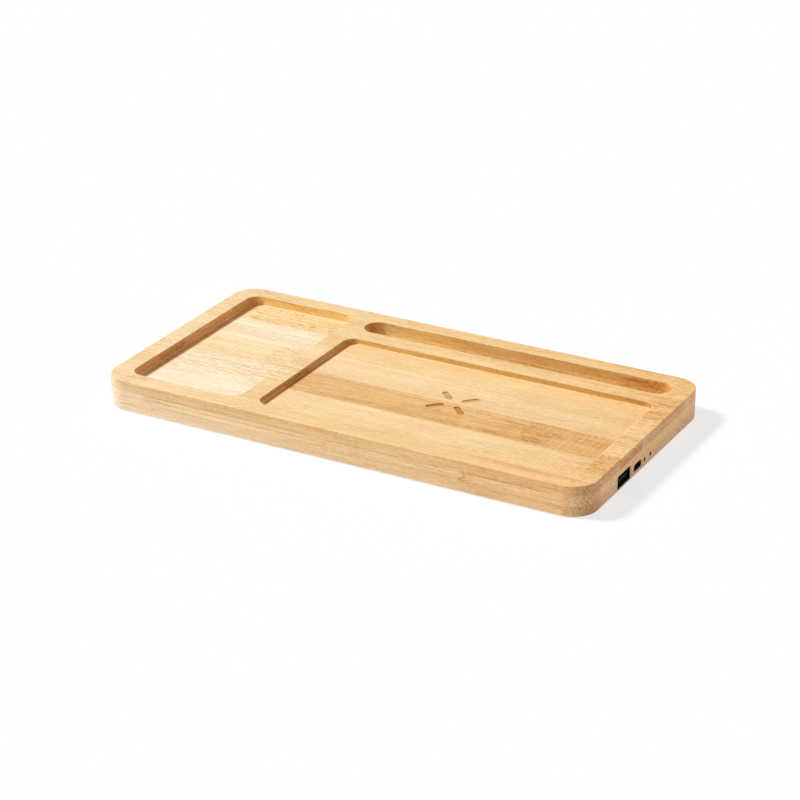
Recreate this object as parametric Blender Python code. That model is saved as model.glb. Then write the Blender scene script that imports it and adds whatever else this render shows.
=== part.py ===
"""Bamboo desk tray with a wireless charger built into it.

A rounded bamboo slab is routed from above, with a catch-all pocket, a phone pocket and a pen
slot, and from below, with a bay for the charging coil and a bay for the circuit board. A moulded
cover closes both bays. Metres, +Z up. The origin is on the table under the middle of the slab:
+X runs along the slab towards the sockets, and +Y runs across it towards the pen slot.
"""

import math

import bmesh
import bpy
from mathutils import Vector

# Slab
SLAB_LENGTH = 0.2500
SLAB_WIDTH = 0.1300
SLAB_THICKNESS = 0.01475
SLAB_CORNER_RADIUS = 0.0123
SLAB_EDGE_BREAK = 0.0005
FOOT_STAND = 0.0005

# Pockets routed into the top
RIM_LEFT = 0.0095
RIM_RIGHT = 0.0102
RIM_FRONT = 0.0100
RIM_BACK = 0.0091
LEFT_POCKET_LENGTH = 0.0593
LEFT_POCKET_DEPTH = 0.00446
LEFT_POCKET_CORNER = 0.0064
POCKET_DIVIDER = 0.00985
PHONE_POCKET_DEPTH = 0.00282
PHONE_POCKET_CORNER = 0.0058
SLOT_DIVIDER = 0.0103
SLOT_WIDTH = 0.0138
SLOT_DEPTH = 0.0085
SLOT_END_SHARE = 0.49
POCKET_FLOOR_RADIUS = 0.0006
POCKET_EDGE_BREAK = 0.0003

# Centring mark: four diagonal strokes over the middle of the coil, in the phone pocket's floor
MARK_BEHIND_CENTRE = 0.0048
MARK_STROKE_START = 0.0042
MARK_STROKE_END = 0.0133
MARK_STROKE_WIDTH = 0.0032
MARK_STROKE_DEPTH = 0.0004
MARK_STROKES = 4

# Clearances
SEAT_GAP = 0.0003
SOCKET_GAP = 0.00015
PORT_CLEARANCE = 0.0004
CUT_OVERRUN = 0.0010

# Bays routed into the underside
CEILING_WOOD = 0.0026
BAY_WALL = 0.0143
BAY_CORNER = 0.0030
BOARD_LEDGE = 0.0080
PORT_WALL = 0.0025

# Cover and its screws
COVER_THICKNESS = 0.0012
COVER_LEDGE = 0.0070
COVER_CORNER = 0.0050
COVER_EDGE_BREAK = 0.0003
LIP_HEIGHT = 0.0016
LIP_THICKNESS = 0.0012
LIP_CLEARANCE = 0.0010
RELIEF_CORNER = 0.0010
COVER_SCREW_INSET = 0.0036
COVER_SCREW_LENGTH = 0.0055
COVER_SCREW_SINK = 0.0001
SCREW_RADIUS = 0.0010
SCREW_HEAD_RADIUS = 0.0019
SCREW_HEAD_RIM = 0.0002
SCREW_TIP = 0.0004
CROSS_LENGTH = 0.0022
CROSS_WIDTH = 0.0005
CROSS_DEPTH = 0.0005

# Feet
FOOT_RADIUS = 0.0050
FOOT_HEIGHT = 0.0015
FOOT_EDGE = 0.0004
FOOT_FROM_END = 0.0170

# Charging coil, ferrite and foam
WIRE_DIAMETER = 0.0008
COIL_PITCH = 0.00125
COIL_INNER_RADIUS = 0.01025
COIL_WHOLE_TURNS = 9
COIL_START_ANGLE = 180
COIL_END_ANGLE = 300
COIL_STEPS_PER_TURN = 24
HOOK_RADIUS = 0.0060
HOOK_SWEEP = 90
HOOK_STEPS = 8
HOOK_CLIMB_SHARE = 0.6
LEAD_DROP_CLEARANCE = 0.00045
LEAD_RUN = 0.0080
LEAD_BEND_RADIUS = 0.0120
LEAD_BEND_STEPS = 4
LEAD_RAMP = 0.0100
LEAD_RAMP_STEPS = 6
LEAD_LANDING = 0.0030
FERRITE_BORDER = 0.0021
FERRITE_THICKNESS = 0.0010
FERRITE_CORNER = 0.0030
FERRITE_CLEARANCE = 0.0030
FOAM_INSET = 0.0040
FOAM_CORNER = 0.0020

# Circuit board
BOARD_LENGTH = 0.0500
BOARD_FRONT_MARGIN = 0.00335
BOARD_BACK_MARGIN = 0.0073
BOARD_THICKNESS = 0.0012
BOARD_CORNER = 0.0010
BOARD_SCREW_INSET_X = 0.0048
BOARD_SCREW_INSET_Y = 0.0040
BOARD_SCREW_LENGTH = 0.0050
BOARD_SCREW_HEAD = 0.0013
SOCKET_TO_SCREW = 0.0070

# USB-A socket, set upside down in a notch of the board
USB_A_FROM_MARK = 0.01857
USB_A_CENTRE_HEIGHT = 0.003875
USB_A_WIDTH = 0.0131
USB_A_HEIGHT = 0.0057
USB_A_LENGTH = 0.0140
USB_A_SHEET = 0.0003
USB_A_CORNER = 0.0004
WING_LENGTH = 0.0022
WING_REACH = 0.0013
WING_OVERLAP = 0.00025
WING_PLACE_SHARES = (0.2, 0.66)
SOCKET_SINK = 0.00025
TONGUE_MARGIN = 0.0010
TONGUE_THICKNESS = 0.00184
TONGUE_LIFT = 0.0007
TONGUE_SETBACK = 0.0009
TONGUE_EDGE = 0.0002
TONGUE_BLOCK_LENGTH = 0.0040
CONTACT_OFFSETS = (-0.0035, -0.0010, 0.0010, 0.0035)
CONTACT_WIDTH = 0.0010
CONTACT_THICKNESS = 0.0002
CONTACT_SETBACK = 0.0012
CONTACT_CREST = 0.0003
CONTACT_LINE_SHARES = ((0, 0), (0.55, 0), (0.80, 1), (0.92, 1), (1, 0))

# Micro-USB socket, wide side down, under the board
MICRO_FROM_USB_A = 0.01484
MICRO_CENTRE_HEIGHT = 0.00335
MICRO_WIDTH = 0.0075
MICRO_HEIGHT = 0.00245
MICRO_CHAMFER_WIDTH = 0.0009
MICRO_CHAMFER_HEIGHT = 0.0008
MICRO_LENGTH = 0.0059
MICRO_SHEET = 0.00025
MICRO_TONGUE_MARGIN = 0.0015
MICRO_TONGUE_THICKNESS = 0.0006
MICRO_TONGUE_SETBACK = 0.0006
MICRO_BLOCK_LENGTH = 0.0012
MICRO_PORT_HEADROOM = 0.0005

# Status lights behind pinholes
LIGHT_FROM_USB_A = 0.02222
LIGHT_PITCH = 0.0066
LIGHT_WIDTH = 0.0030
LIGHT_DEPTH = 0.0012
LIGHT_HEIGHT = 0.0018
LIGHT_EDGE = 0.0003
PINHOLE_RADIUS = 0.0008

# Parts under the board: size along X, Y and Z
CHIP_EDGE = 0.0001
CONTROLLER_SIZE = (0.0050, 0.0050, 0.0009)
DRIVER_SIZE = (0.0049, 0.0039, 0.0014)
DRIVER_LEG = (0.0004, 0.0010, 0.0003)
DRIVER_LEG_PITCH = 0.00127
DRIVER_LEGS_PER_SIDE = 4
OUTPUT_CHIP_SIZE = (0.0029, 0.0016, 0.0011)
OUTPUT_LEG = (0.0004, 0.0006, 0.0003)
OUTPUT_LEG_PITCH = 0.00095
OUTPUT_LEGS_PER_SIDE = 3
INDUCTOR_SIZE = (0.0066, 0.0066, 0.0028)
INDUCTOR_CORNER = 0.0012
RESONANT_SIZE = (0.0016, 0.0032, 0.0014)
RESONANT_END = 0.0005
RESONANT_STEP = 0.00005
INPUT_CAPACITOR_SIZE = (0.0043, 0.0073, 0.0025)

# Places of those parts from the board's left front corner: shares of the length up to the notch
# for the USB-A socket, and of the board's width
CONTROLLER_PLACE_SHARES = (0.55, 0.62)
DRIVER_PLACE_SHARES = ((0.26, 0.30), (0.26, 0.50))
RESONANT_PLACE_SHARES = ((0.47, 0.30), (0.56, 0.30), (0.65, 0.30), (0.74, 0.30))
INDUCTOR_PLACE_SHARES = (0.84, 0.58)
INPUT_CAPACITOR_PLACE_SHARES = ((0.78, 0.84), (0.94, 0.84))
OUTPUT_CHIP_PLACE_SHARES = (0.90, 0.26)

# How finely round forms are drawn
SLAB_CORNER_STEPS = 10
POCKET_CORNER_STEPS = 8
BAY_CORNER_STEPS = 4
SMALL_CORNER_STEPS = 2
ROUND_STEPS = 24
HOLE_STEPS = 12
FLOOR_ROUND_STEPS = 2
SMOOTH_UNDER_DEGREES = 35

# Places that follow from the sizes above
SLAB_BOTTOM = FOOT_STAND
SLAB_TOP = SLAB_BOTTOM + SLAB_THICKNESS
SLAB_END = SLAB_LENGTH / 2
SLAB_SIDE = SLAB_WIDTH / 2

LEFT_POCKET_X0 = -SLAB_END + RIM_LEFT
LEFT_POCKET_X1 = LEFT_POCKET_X0 + LEFT_POCKET_LENGTH
POCKET_FRONT = -SLAB_SIDE + RIM_FRONT
POCKET_BACK = SLAB_SIDE - RIM_BACK
PHONE_POCKET_X0 = LEFT_POCKET_X1 + POCKET_DIVIDER
PHONE_POCKET_X1 = SLAB_END - RIM_RIGHT
SLOT_FRONT = POCKET_BACK - SLOT_WIDTH
PHONE_POCKET_BACK = SLOT_FRONT - SLOT_DIVIDER
PHONE_FLOOR = SLAB_TOP - PHONE_POCKET_DEPTH

COIL_TURNS = COIL_WHOLE_TURNS + (COIL_END_ANGLE - COIL_START_ANGLE) / 360
COIL_OUTER_RADIUS = COIL_INNER_RADIUS + COIL_PITCH * COIL_TURNS
FERRITE_SIDE = 2 * (COIL_OUTER_RADIUS + FERRITE_BORDER)
FOAM_SIDE = FERRITE_SIDE - 2 * FOAM_INSET
COIL_BAY_SIDE = FERRITE_SIDE + 2 * FERRITE_CLEARANCE

BOARD_X1 = SLAB_END - PORT_WALL - SEAT_GAP
BOARD_X0 = BOARD_X1 - BOARD_LENGTH
BOARD_BAY_X0 = BOARD_X0 - SEAT_GAP
BOARD_BAY_X1 = SLAB_END - PORT_WALL
COIL_BAY_X1 = BOARD_BAY_X0 - BAY_WALL
COIL_BAY_X0 = COIL_BAY_X1 - COIL_BAY_SIDE
MARK_X = (COIL_BAY_X0 + COIL_BAY_X1) / 2
MARK_Y = (POCKET_FRONT + PHONE_POCKET_BACK) / 2 + MARK_BEHIND_CENTRE
COIL_BAY_Y0 = MARK_Y - COIL_BAY_SIDE / 2
COIL_BAY_Y1 = MARK_Y + COIL_BAY_SIDE / 2

SOCKET_MOUTH = SLAB_END - SOCKET_SINK
SOCKET_NOTCH_X0 = SOCKET_MOUTH - USB_A_LENGTH - SEAT_GAP
USB_A_Y = MARK_Y - USB_A_FROM_MARK
USB_A_Z = SLAB_BOTTOM + USB_A_CENTRE_HEIGHT
MICRO_Y = USB_A_Y + MICRO_FROM_USB_A
MICRO_Z = SLAB_BOTTOM + MICRO_CENTRE_HEIGHT
LIGHT_Y = USB_A_Y + LIGHT_FROM_USB_A

BOARD_Y0 = USB_A_Y - USB_A_WIDTH / 2 - BOARD_FRONT_MARGIN
BOARD_Y1 = LIGHT_Y + LIGHT_PITCH + LIGHT_WIDTH / 2 + BOARD_BACK_MARGIN
BOARD_BAY_Y0 = BOARD_Y0 - SEAT_GAP
BOARD_BAY_Y1 = BOARD_Y1 + SEAT_GAP
BOARD_UNDERSIDE = MICRO_Z + MICRO_HEIGHT / 2 + SEAT_GAP
BOARD_TOP = BOARD_UNDERSIDE + BOARD_THICKNESS
PART_TOP = BOARD_UNDERSIDE - SEAT_GAP
LIGHT_Z = PART_TOP - LIGHT_HEIGHT / 2

CEILING = PHONE_FLOOR - CEILING_WOOD
LEDGE = BOARD_TOP + SEAT_GAP

COVER_X0 = COIL_BAY_X0 - COVER_LEDGE
COVER_X1 = BOARD_BAY_X1 - SEAT_GAP
COVER_Y0 = min(COIL_BAY_Y0, BOARD_BAY_Y0) - COVER_LEDGE
COVER_Y1 = max(COIL_BAY_Y1, BOARD_BAY_Y1) + COVER_LEDGE
COVER_TOP = SLAB_BOTTOM + COVER_THICKNESS
REBATE_CEILING = COVER_TOP + SEAT_GAP
FOOT_X = SLAB_END - FOOT_FROM_END
FOOT_Y = (SLAB_SIDE - COVER_Y0) / 2

COIL_Z = CEILING - SEAT_GAP - WIRE_DIAMETER / 2
LEAD_Z = COIL_Z - WIRE_DIAMETER - LEAD_DROP_CLEARANCE
LANDING_Z = BOARD_TOP + SEAT_GAP + WIRE_DIAMETER / 2
FERRITE_TOP = COIL_Z - WIRE_DIAMETER / 2 - SEAT_GAP
FERRITE_BOTTOM = FERRITE_TOP - FERRITE_THICKNESS
FOAM_TOP = min(FERRITE_BOTTOM, LEAD_Z - WIRE_DIAMETER / 2) - SEAT_GAP
FOAM_BOTTOM = COVER_TOP + SEAT_GAP


# Outlines

def rounded_rectangle(x0, x1, y0, y1, radius, steps):
    """Points of a rounded rectangle, counter-clockwise, with steps + 1 points on each corner."""
    corners = (
        (x1 - radius, y0 + radius, -90),
        (x1 - radius, y1 - radius, 0),
        (x0 + radius, y1 - radius, 90),
        (x0 + radius, y0 + radius, 180),
    )
    points = []
    for centre_x, centre_y, start in corners:
        for step in range(steps + 1):
            angle = math.radians(start + 90 * step / steps)
            points.append((centre_x + radius * math.cos(angle), centre_y + radius * math.sin(angle)))
    return points


def rectangle(x0, x1, y0, y1):
    return [(x1, y0), (x1, y1), (x0, y1), (x0, y0)]


def circle(centre_x, centre_y, radius, steps):
    angles = [2 * math.pi * step / steps for step in range(steps)]
    return [(centre_x + radius * math.cos(a), centre_y + radius * math.sin(a)) for a in angles]


def at_height(outline, z):
    """An outline in X and Y, laid at height z."""
    return [(x, y, z) for x, y in outline]


def at_station(outline, x):
    """An outline in Y and Z, stood across X at x."""
    return [(x, y, z) for y, z in outline]


def smooth(share):
    """Eases from 0 to 1 with no kink at either end."""
    share = min(max(share, 0), 1)
    return share * share * (3 - 2 * share)


# Objects

def new_object(name, mesh, place=(0, 0, 0), parent=None):
    made = bpy.data.objects.new(name, mesh)
    bpy.context.scene.collection.objects.link(made)
    made.location = place
    made.parent = parent
    return made


def loft_mesh(name, rings):
    """A closed mesh through rings of as many points each, with its first and last ring capped."""
    shape = bmesh.new()
    rows = [[shape.verts.new(point) for point in ring] for ring in rings]
    for lower, upper in zip(rows, rows[1:]):
        for index in range(len(lower)):
            after = (index + 1) % len(lower)
            shape.faces.new((lower[index], lower[after], upper[after], upper[index]))
    shape.faces.new(reversed(rows[0]))
    shape.faces.new(rows[-1])
    return finished_mesh(name, shape)


def boxes_mesh(name, boxes):
    """Separate boxes in one mesh, each given as its centre and its size."""
    shape = bmesh.new()
    for centre, size in boxes:
        made = bmesh.ops.create_cube(shape, size=1)["verts"]
        bmesh.ops.scale(shape, vec=size, verts=made)
        bmesh.ops.translate(shape, vec=centre, verts=made)
    return finished_mesh(name, shape)


def finished_mesh(name, shape):
    bmesh.ops.recalc_face_normals(shape, faces=shape.faces)
    mesh = bpy.data.meshes.new(name)
    shape.to_mesh(mesh)
    shape.free()
    return mesh


def loft(name, rings, place=(0, 0, 0), parent=None):
    return new_object(name, loft_mesh(name, rings), place, parent)


def turned_mesh(name, profile, steps):
    """A solid turned about Z from (radius, height) pairs, capped flat at both ends."""
    return loft_mesh(name, [at_height(circle(0, 0, radius, steps), z) for radius, z in profile])


def shade_round(mesh):
    mesh.shade_smooth()
    mesh.set_sharp_from_angle(angle=math.radians(SMOOTH_UNDER_DEGREES))


def helper(made):
    """Marks an object as a cutter or a tool shape, which is not a piece of the product."""
    shade_round(made.data)
    made.hide_render = True
    made.display_type = "WIRE"
    return made


def combine(target, tool, operation):
    step = target.modifiers.new(tool.name, "BOOLEAN")
    step.operation = operation
    step.solver = "EXACT"
    step.object = tool


def cut(target, *tools):
    for tool in tools:
        combine(target, helper(tool), "DIFFERENCE")


def add(target, *tools):
    for tool in tools:
        combine(target, helper(tool), "UNION")


def evaluated_mesh(name, made):
    """The mesh that an object's modifiers leave, for pieces that share it."""
    bpy.context.view_layer.update()
    graph = bpy.context.evaluated_depsgraph_get()
    mesh = bpy.data.meshes.new_from_object(made.evaluated_get(graph))
    mesh.name = name
    return mesh


def finish(made, material):
    """Gives a piece its material and shades its round faces smooth."""
    made.data.materials.clear()
    made.data.materials.append(material)
    if made.type == "MESH":
        shade_round(made.data)
    return made


def make_material(name, colour, roughness, metallic=0):
    made = bpy.data.materials.new(name)
    made.use_nodes = True
    shader = made.node_tree.nodes["Principled BSDF"]
    shader.inputs["Base Color"].default_value = (*colour, 1)
    shader.inputs["Roughness"].default_value = roughness
    shader.inputs["Metallic"].default_value = metallic
    return made


# Bamboo tray

def pocket_cutter(name, x0, x1, y0, y1, corner, depth):
    """A routed pocket: rounded floor edge, upright walls and a small break along its rim."""
    floor = SLAB_TOP - depth
    rings = []
    for step in range(FLOOR_ROUND_STEPS + 1):
        angle = math.radians(90 * step / FLOOR_ROUND_STEPS)
        inset = POCKET_FLOOR_RADIUS * (1 - math.sin(angle))
        rise = POCKET_FLOOR_RADIUS * (1 - math.cos(angle))
        rings.append((inset, floor + rise))
    rings.append((0, SLAB_TOP - POCKET_EDGE_BREAK))
    rings.append((-POCKET_EDGE_BREAK - CUT_OVERRUN, SLAB_TOP + CUT_OVERRUN))
    outlines = []
    for inset, z in rings:
        bounds = (x0 + inset, x1 - inset, y0 + inset, y1 - inset)
        outlines.append(at_height(rounded_rectangle(*bounds, corner - inset, POCKET_CORNER_STEPS), z))
    return loft(name, outlines)


def mark_cutter(name, turn):
    """One stroke of the centring mark: a round-ended groove that points away from the middle."""
    half = MARK_STROKE_WIDTH / 2
    radius = half * 2 * SLOT_END_SHARE
    outline = rounded_rectangle(
        MARK_STROKE_START, MARK_STROKE_END, -half, half, radius, SMALL_CORNER_STEPS * 2
    )
    rings = [at_height(outline, -MARK_STROKE_DEPTH), at_height(outline, CUT_OVERRUN)]
    made = loft(name, rings, place=(MARK_X, MARK_Y, PHONE_FLOOR))
    made.rotation_euler.z = turn
    return made


def bay_cutter(name, x0, x1, y0, y1, corner, top):
    """A routed bay from below the slab up to a flat ceiling."""
    outline = rounded_rectangle(x0, x1, y0, y1, corner, BAY_CORNER_STEPS)
    return loft(name, [at_height(outline, SLAB_BOTTOM - CUT_OVERRUN), at_height(outline, top)])


def drill(name, x, y, radius, bottom, top, steps=HOLE_STEPS):
    outline = circle(x, y, radius, steps)
    return loft(name, [at_height(outline, bottom), at_height(outline, top)])


def port_cutter(name, outline):
    """An opening of this outline, in Y and Z, through the wall behind the right-hand end."""
    inner = BOARD_BAY_X1 - CUT_OVERRUN
    return loft(name, [at_station(outline, inner), at_station(outline, SLAB_END + CUT_OVERRUN)])


def micro_outline(grow, headroom=0):
    """The micro-USB shell's outline in Y and Z: wide side down, both upper corners cut off.
    Headroom raises its top, for the opening in the wood."""
    side = MICRO_WIDTH / 2 + grow
    bottom = MICRO_Z - MICRO_HEIGHT / 2 - grow
    top = MICRO_Z + MICRO_HEIGHT / 2 + grow + headroom
    slope = MICRO_CHAMFER_WIDTH
    drop = MICRO_CHAMFER_HEIGHT
    return [
        (MICRO_Y + side, bottom),
        (MICRO_Y + side, top - drop),
        (MICRO_Y + side - slope, top),
        (MICRO_Y - side + slope, top),
        (MICRO_Y - side, top - drop),
        (MICRO_Y - side, bottom),
    ]


def usb_a_outline(grow):
    """The USB-A shell's outline in Y and Z."""
    side = USB_A_WIDTH / 2 + grow
    half = USB_A_HEIGHT / 2 + grow
    bounds = (USB_A_Y - side, USB_A_Y + side, USB_A_Z - half, USB_A_Z + half)
    return rounded_rectangle(*bounds, USB_A_CORNER + grow, SMALL_CORNER_STEPS)


def cover_screw_places():
    x0 = COVER_X0 + COVER_SCREW_INSET
    x1 = COVER_X1 - COVER_SCREW_INSET
    y0 = COVER_Y0 + COVER_SCREW_INSET
    y1 = COVER_Y1 - COVER_SCREW_INSET
    return [(x, y) for y in (y0, y1) for x in (x0, (x0 + x1) / 2, x1)]


def board_screw_places():
    front = BOARD_Y0 + BOARD_SCREW_INSET_Y
    back = BOARD_Y1 - BOARD_SCREW_INSET_Y
    left = BOARD_X0 + BOARD_SCREW_INSET_X
    return [
        (left, front),
        (SOCKET_NOTCH_X0 - SOCKET_TO_SCREW, front),
        (left, back),
        (BOARD_X1 - BOARD_SCREW_INSET_X, back),
    ]


def foot_places():
    """The feet stand halfway between the cover's front edge and the slab's, and as far back."""
    return {
        "foot_front_left": (-FOOT_X, -FOOT_Y),
        "foot_front_right": (FOOT_X, -FOOT_Y),
        "foot_back_left": (-FOOT_X, FOOT_Y),
        "foot_back_right": (FOOT_X, FOOT_Y),
    }


def light_places():
    return [LIGHT_Y, LIGHT_Y + LIGHT_PITCH]


def slab_rings():
    rings = (
        (SLAB_EDGE_BREAK, SLAB_BOTTOM),
        (0, SLAB_BOTTOM + SLAB_EDGE_BREAK),
        (0, SLAB_TOP - SLAB_EDGE_BREAK),
        (SLAB_EDGE_BREAK, SLAB_TOP),
    )
    outlines = []
    for inset, z in rings:
        side = SLAB_SIDE - inset
        end = SLAB_END - inset
        radius = SLAB_CORNER_RADIUS - inset
        outlines.append(at_height(rounded_rectangle(-end, end, -side, side, radius, SLAB_CORNER_STEPS), z))
    return outlines


def make_tray(bamboo):
    tray = loft("tray", slab_rings())
    cut(
        tray,
        pocket_cutter(
            "cut_left_pocket", LEFT_POCKET_X0, LEFT_POCKET_X1, POCKET_FRONT, POCKET_BACK,
            LEFT_POCKET_CORNER, LEFT_POCKET_DEPTH,
        ),
        pocket_cutter(
            "cut_phone_pocket", PHONE_POCKET_X0, PHONE_POCKET_X1, POCKET_FRONT, PHONE_POCKET_BACK,
            PHONE_POCKET_CORNER, PHONE_POCKET_DEPTH,
        ),
        pocket_cutter(
            "cut_pen_slot", PHONE_POCKET_X0, PHONE_POCKET_X1, SLOT_FRONT, POCKET_BACK,
            SLOT_WIDTH * SLOT_END_SHARE, SLOT_DEPTH,
        ),
    )
    for stroke in range(MARK_STROKES):
        turn = math.radians(45 + 360 * stroke / MARK_STROKES)
        cut(tray, mark_cutter(f"cut_mark_{stroke + 1}", turn))
    cut_underside(tray)
    cut_ports(tray)
    return finish(tray, bamboo)


def cut_underside(tray):
    grown = (
        COVER_X0 - SEAT_GAP, BOARD_BAY_X1, COVER_Y0 - SEAT_GAP, COVER_Y1 + SEAT_GAP,
    )
    cut(
        tray,
        bay_cutter("cut_rebate", *grown, COVER_CORNER + SEAT_GAP, REBATE_CEILING),
        bay_cutter(
            "cut_coil_bay", COIL_BAY_X0, COIL_BAY_X1, COIL_BAY_Y0, COIL_BAY_Y1, BAY_CORNER, CEILING,
        ),
        bay_cutter(
            "cut_board_bay", BOARD_BAY_X0, BOARD_BAY_X1, BOARD_BAY_Y0, BOARD_BAY_Y1,
            BOARD_CORNER, LEDGE,
        ),
        bay_cutter(
            "cut_board_well", COIL_BAY_X1 - BAY_CORNER * 2, BOARD_BAY_X1, BOARD_BAY_Y0 + BOARD_LEDGE,
            BOARD_BAY_Y1 - BOARD_LEDGE, BAY_CORNER, CEILING,
        ),
        bay_cutter(
            "cut_socket_well", SOCKET_NOTCH_X0, BOARD_BAY_X1, BOARD_BAY_Y0,
            BOARD_BAY_Y1 - BOARD_LEDGE, BOARD_CORNER, USB_A_Z + USB_A_HEIGHT / 2 + SEAT_GAP,
        ),
    )
    pilot = SCREW_RADIUS + SEAT_GAP
    screw_top = SLAB_BOTTOM + COVER_SCREW_SINK + COVER_SCREW_LENGTH + SEAT_GAP
    for number, (x, y) in enumerate(cover_screw_places(), 1):
        bottom = REBATE_CEILING - CUT_OVERRUN / 2
        cut(tray, drill(f"cut_cover_pilot_{number}", x, y, pilot, bottom, screw_top))
    board_screw_top = PART_TOP + BOARD_SCREW_LENGTH + SEAT_GAP
    for number, (x, y) in enumerate(board_screw_places(), 1):
        bottom = LEDGE - CUT_OVERRUN / 2
        cut(tray, drill(f"cut_board_pilot_{number}", x, y, pilot, bottom, board_screw_top))
    foot_ceiling = FOOT_HEIGHT + SEAT_GAP
    for name, (x, y) in foot_places().items():
        bottom = SLAB_BOTTOM - CUT_OVERRUN
        radius = FOOT_RADIUS + SEAT_GAP
        cut(tray, drill(f"cut_{name}", x, y, radius, bottom, foot_ceiling, ROUND_STEPS))


def cut_ports(tray):
    cut(
        tray,
        port_cutter("cut_usb_a_port", usb_a_outline(PORT_CLEARANCE)),
        port_cutter("cut_micro_usb_port", micro_outline(PORT_CLEARANCE, MICRO_PORT_HEADROOM)),
    )
    for number, y in enumerate(light_places(), 1):
        outline = circle(y, LIGHT_Z, PINHOLE_RADIUS, HOLE_STEPS)
        cut(tray, port_cutter(f"cut_pinhole_{number}", outline))


# Cover, feet and screws

def make_cover(plastic):
    """The cover: a flat plate with countersunk holes, a relief under the USB-A socket, and a lip
    that drops into the coil bay and pens the foam pad."""
    steps = BAY_CORNER_STEPS
    rings = []
    for inset, z in ((COVER_EDGE_BREAK, SLAB_BOTTOM), (0, SLAB_BOTTOM + COVER_EDGE_BREAK), (0, COVER_TOP)):
        bounds = (COVER_X0 + inset, COVER_X1 - inset, COVER_Y0 + inset, COVER_Y1 - inset)
        rings.append(at_height(rounded_rectangle(*bounds, COVER_CORNER - inset, steps), z))
    cover = loft("bottom_cover", rings)

    lip_half = COIL_BAY_SIDE / 2 - LIP_CLEARANCE
    lip_root = COVER_TOP - COVER_THICKNESS / 2
    lip_floor = (COVER_TOP + lip_root) / 2
    outer = rounded_rectangle(
        MARK_X - lip_half, MARK_X + lip_half, MARK_Y - lip_half, MARK_Y + lip_half, BAY_CORNER, steps
    )
    hollow = lip_half - LIP_THICKNESS
    inner = rounded_rectangle(
        MARK_X - hollow, MARK_X + hollow, MARK_Y - hollow, MARK_Y + hollow,
        BAY_CORNER - LIP_THICKNESS, steps,
    )
    lip_top = COVER_TOP + LIP_HEIGHT
    lip = loft("add_cover_lip", [
        at_height(inner, lip_floor), at_height(inner, lip_top), at_height(outer, lip_top),
        at_height(outer, lip_root),
    ])
    add(cover, lip)

    relief = rounded_rectangle(
        SOCKET_NOTCH_X0, COVER_X1 + CUT_OVERRUN, USB_A_Y - USB_A_WIDTH / 2 - SEAT_GAP,
        USB_A_Y + USB_A_WIDTH / 2 + SEAT_GAP, RELIEF_CORNER, SMALL_CORNER_STEPS,
    )
    relief_floor = USB_A_Z - USB_A_HEIGHT / 2 - SEAT_GAP
    cut(cover, loft("cut_socket_relief", [
        at_height(relief, relief_floor), at_height(relief, COVER_TOP + CUT_OVERRUN),
    ]))

    countersink = turned_mesh("countersink", countersink_profile(), ROUND_STEPS)
    for number, (x, y) in enumerate(cover_screw_places(), 1):
        cut(cover, new_object(f"cut_countersink_{number}", countersink, (x, y, SLAB_BOTTOM)))
    return finish(cover, plastic)


def countersink_profile():
    """Radius and height of the countersunk hole, from below the cover to above it."""
    rim = COVER_SCREW_SINK + SCREW_HEAD_RIM
    hole = SCREW_RADIUS + SEAT_GAP
    mouth = SCREW_HEAD_RADIUS + SEAT_GAP
    return (
        (mouth, -CUT_OVERRUN),
        (mouth, rim),
        (hole, rim + SCREW_HEAD_RADIUS - SCREW_RADIUS),
        (hole, COVER_THICKNESS + CUT_OVERRUN),
    )


def screw_mesh(name, profile, head_bottom):
    """A turned screw with a cross recess cut up into its head."""
    blank = new_object(f"{name}_blank", turned_mesh(f"{name}_blank", profile, HOLE_STEPS))
    depth = CROSS_DEPTH + CUT_OVERRUN
    middle = (0, 0, head_bottom + CROSS_DEPTH - depth / 2)
    for bar, size in (("a", (CROSS_LENGTH, CROSS_WIDTH, depth)), ("b", (CROSS_WIDTH, CROSS_LENGTH, depth))):
        cut(blank, new_object(f"cut_{name}_{bar}", boxes_mesh(f"cut_{name}_{bar}", [(middle, size)])))
    return evaluated_mesh(name, helper(blank))


def make_cover_screws(steel):
    """Countersunk screws through the cover into the wood. Height 0 is the cover's outer face."""
    head = COVER_SCREW_SINK
    neck = head + SCREW_HEAD_RIM + SCREW_HEAD_RADIUS - SCREW_RADIUS
    end = head + COVER_SCREW_LENGTH
    profile = (
        (SCREW_HEAD_RADIUS, head),
        (SCREW_HEAD_RADIUS, head + SCREW_HEAD_RIM),
        (SCREW_RADIUS, neck),
        (SCREW_RADIUS, end - SCREW_TIP),
        (SCREW_RADIUS - SCREW_TIP, end),
    )
    mesh = screw_mesh("cover_screw", profile, head)
    for number, (x, y) in enumerate(cover_screw_places(), 1):
        finish(new_object(f"cover_screw_{number}", mesh, (x, y, SLAB_BOTTOM)), steel)


def make_board_screws(steel):
    """Flat-headed screws through the board into the wooden ledges. Height 0 is under the board."""
    profile = (
        (SCREW_HEAD_RADIUS - SCREW_HEAD_RIM, -BOARD_SCREW_HEAD),
        (SCREW_HEAD_RADIUS, SCREW_HEAD_RIM - BOARD_SCREW_HEAD),
        (SCREW_HEAD_RADIUS, 0),
        (SCREW_RADIUS, 0),
        (SCREW_RADIUS, BOARD_SCREW_LENGTH - SCREW_TIP),
        (SCREW_RADIUS - SCREW_TIP, BOARD_SCREW_LENGTH),
    )
    mesh = screw_mesh("board_screw", profile, -BOARD_SCREW_HEAD)
    for number, (x, y) in enumerate(board_screw_places(), 1):
        finish(new_object(f"board_screw_{number}", mesh, (x, y, PART_TOP)), steel)


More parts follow.
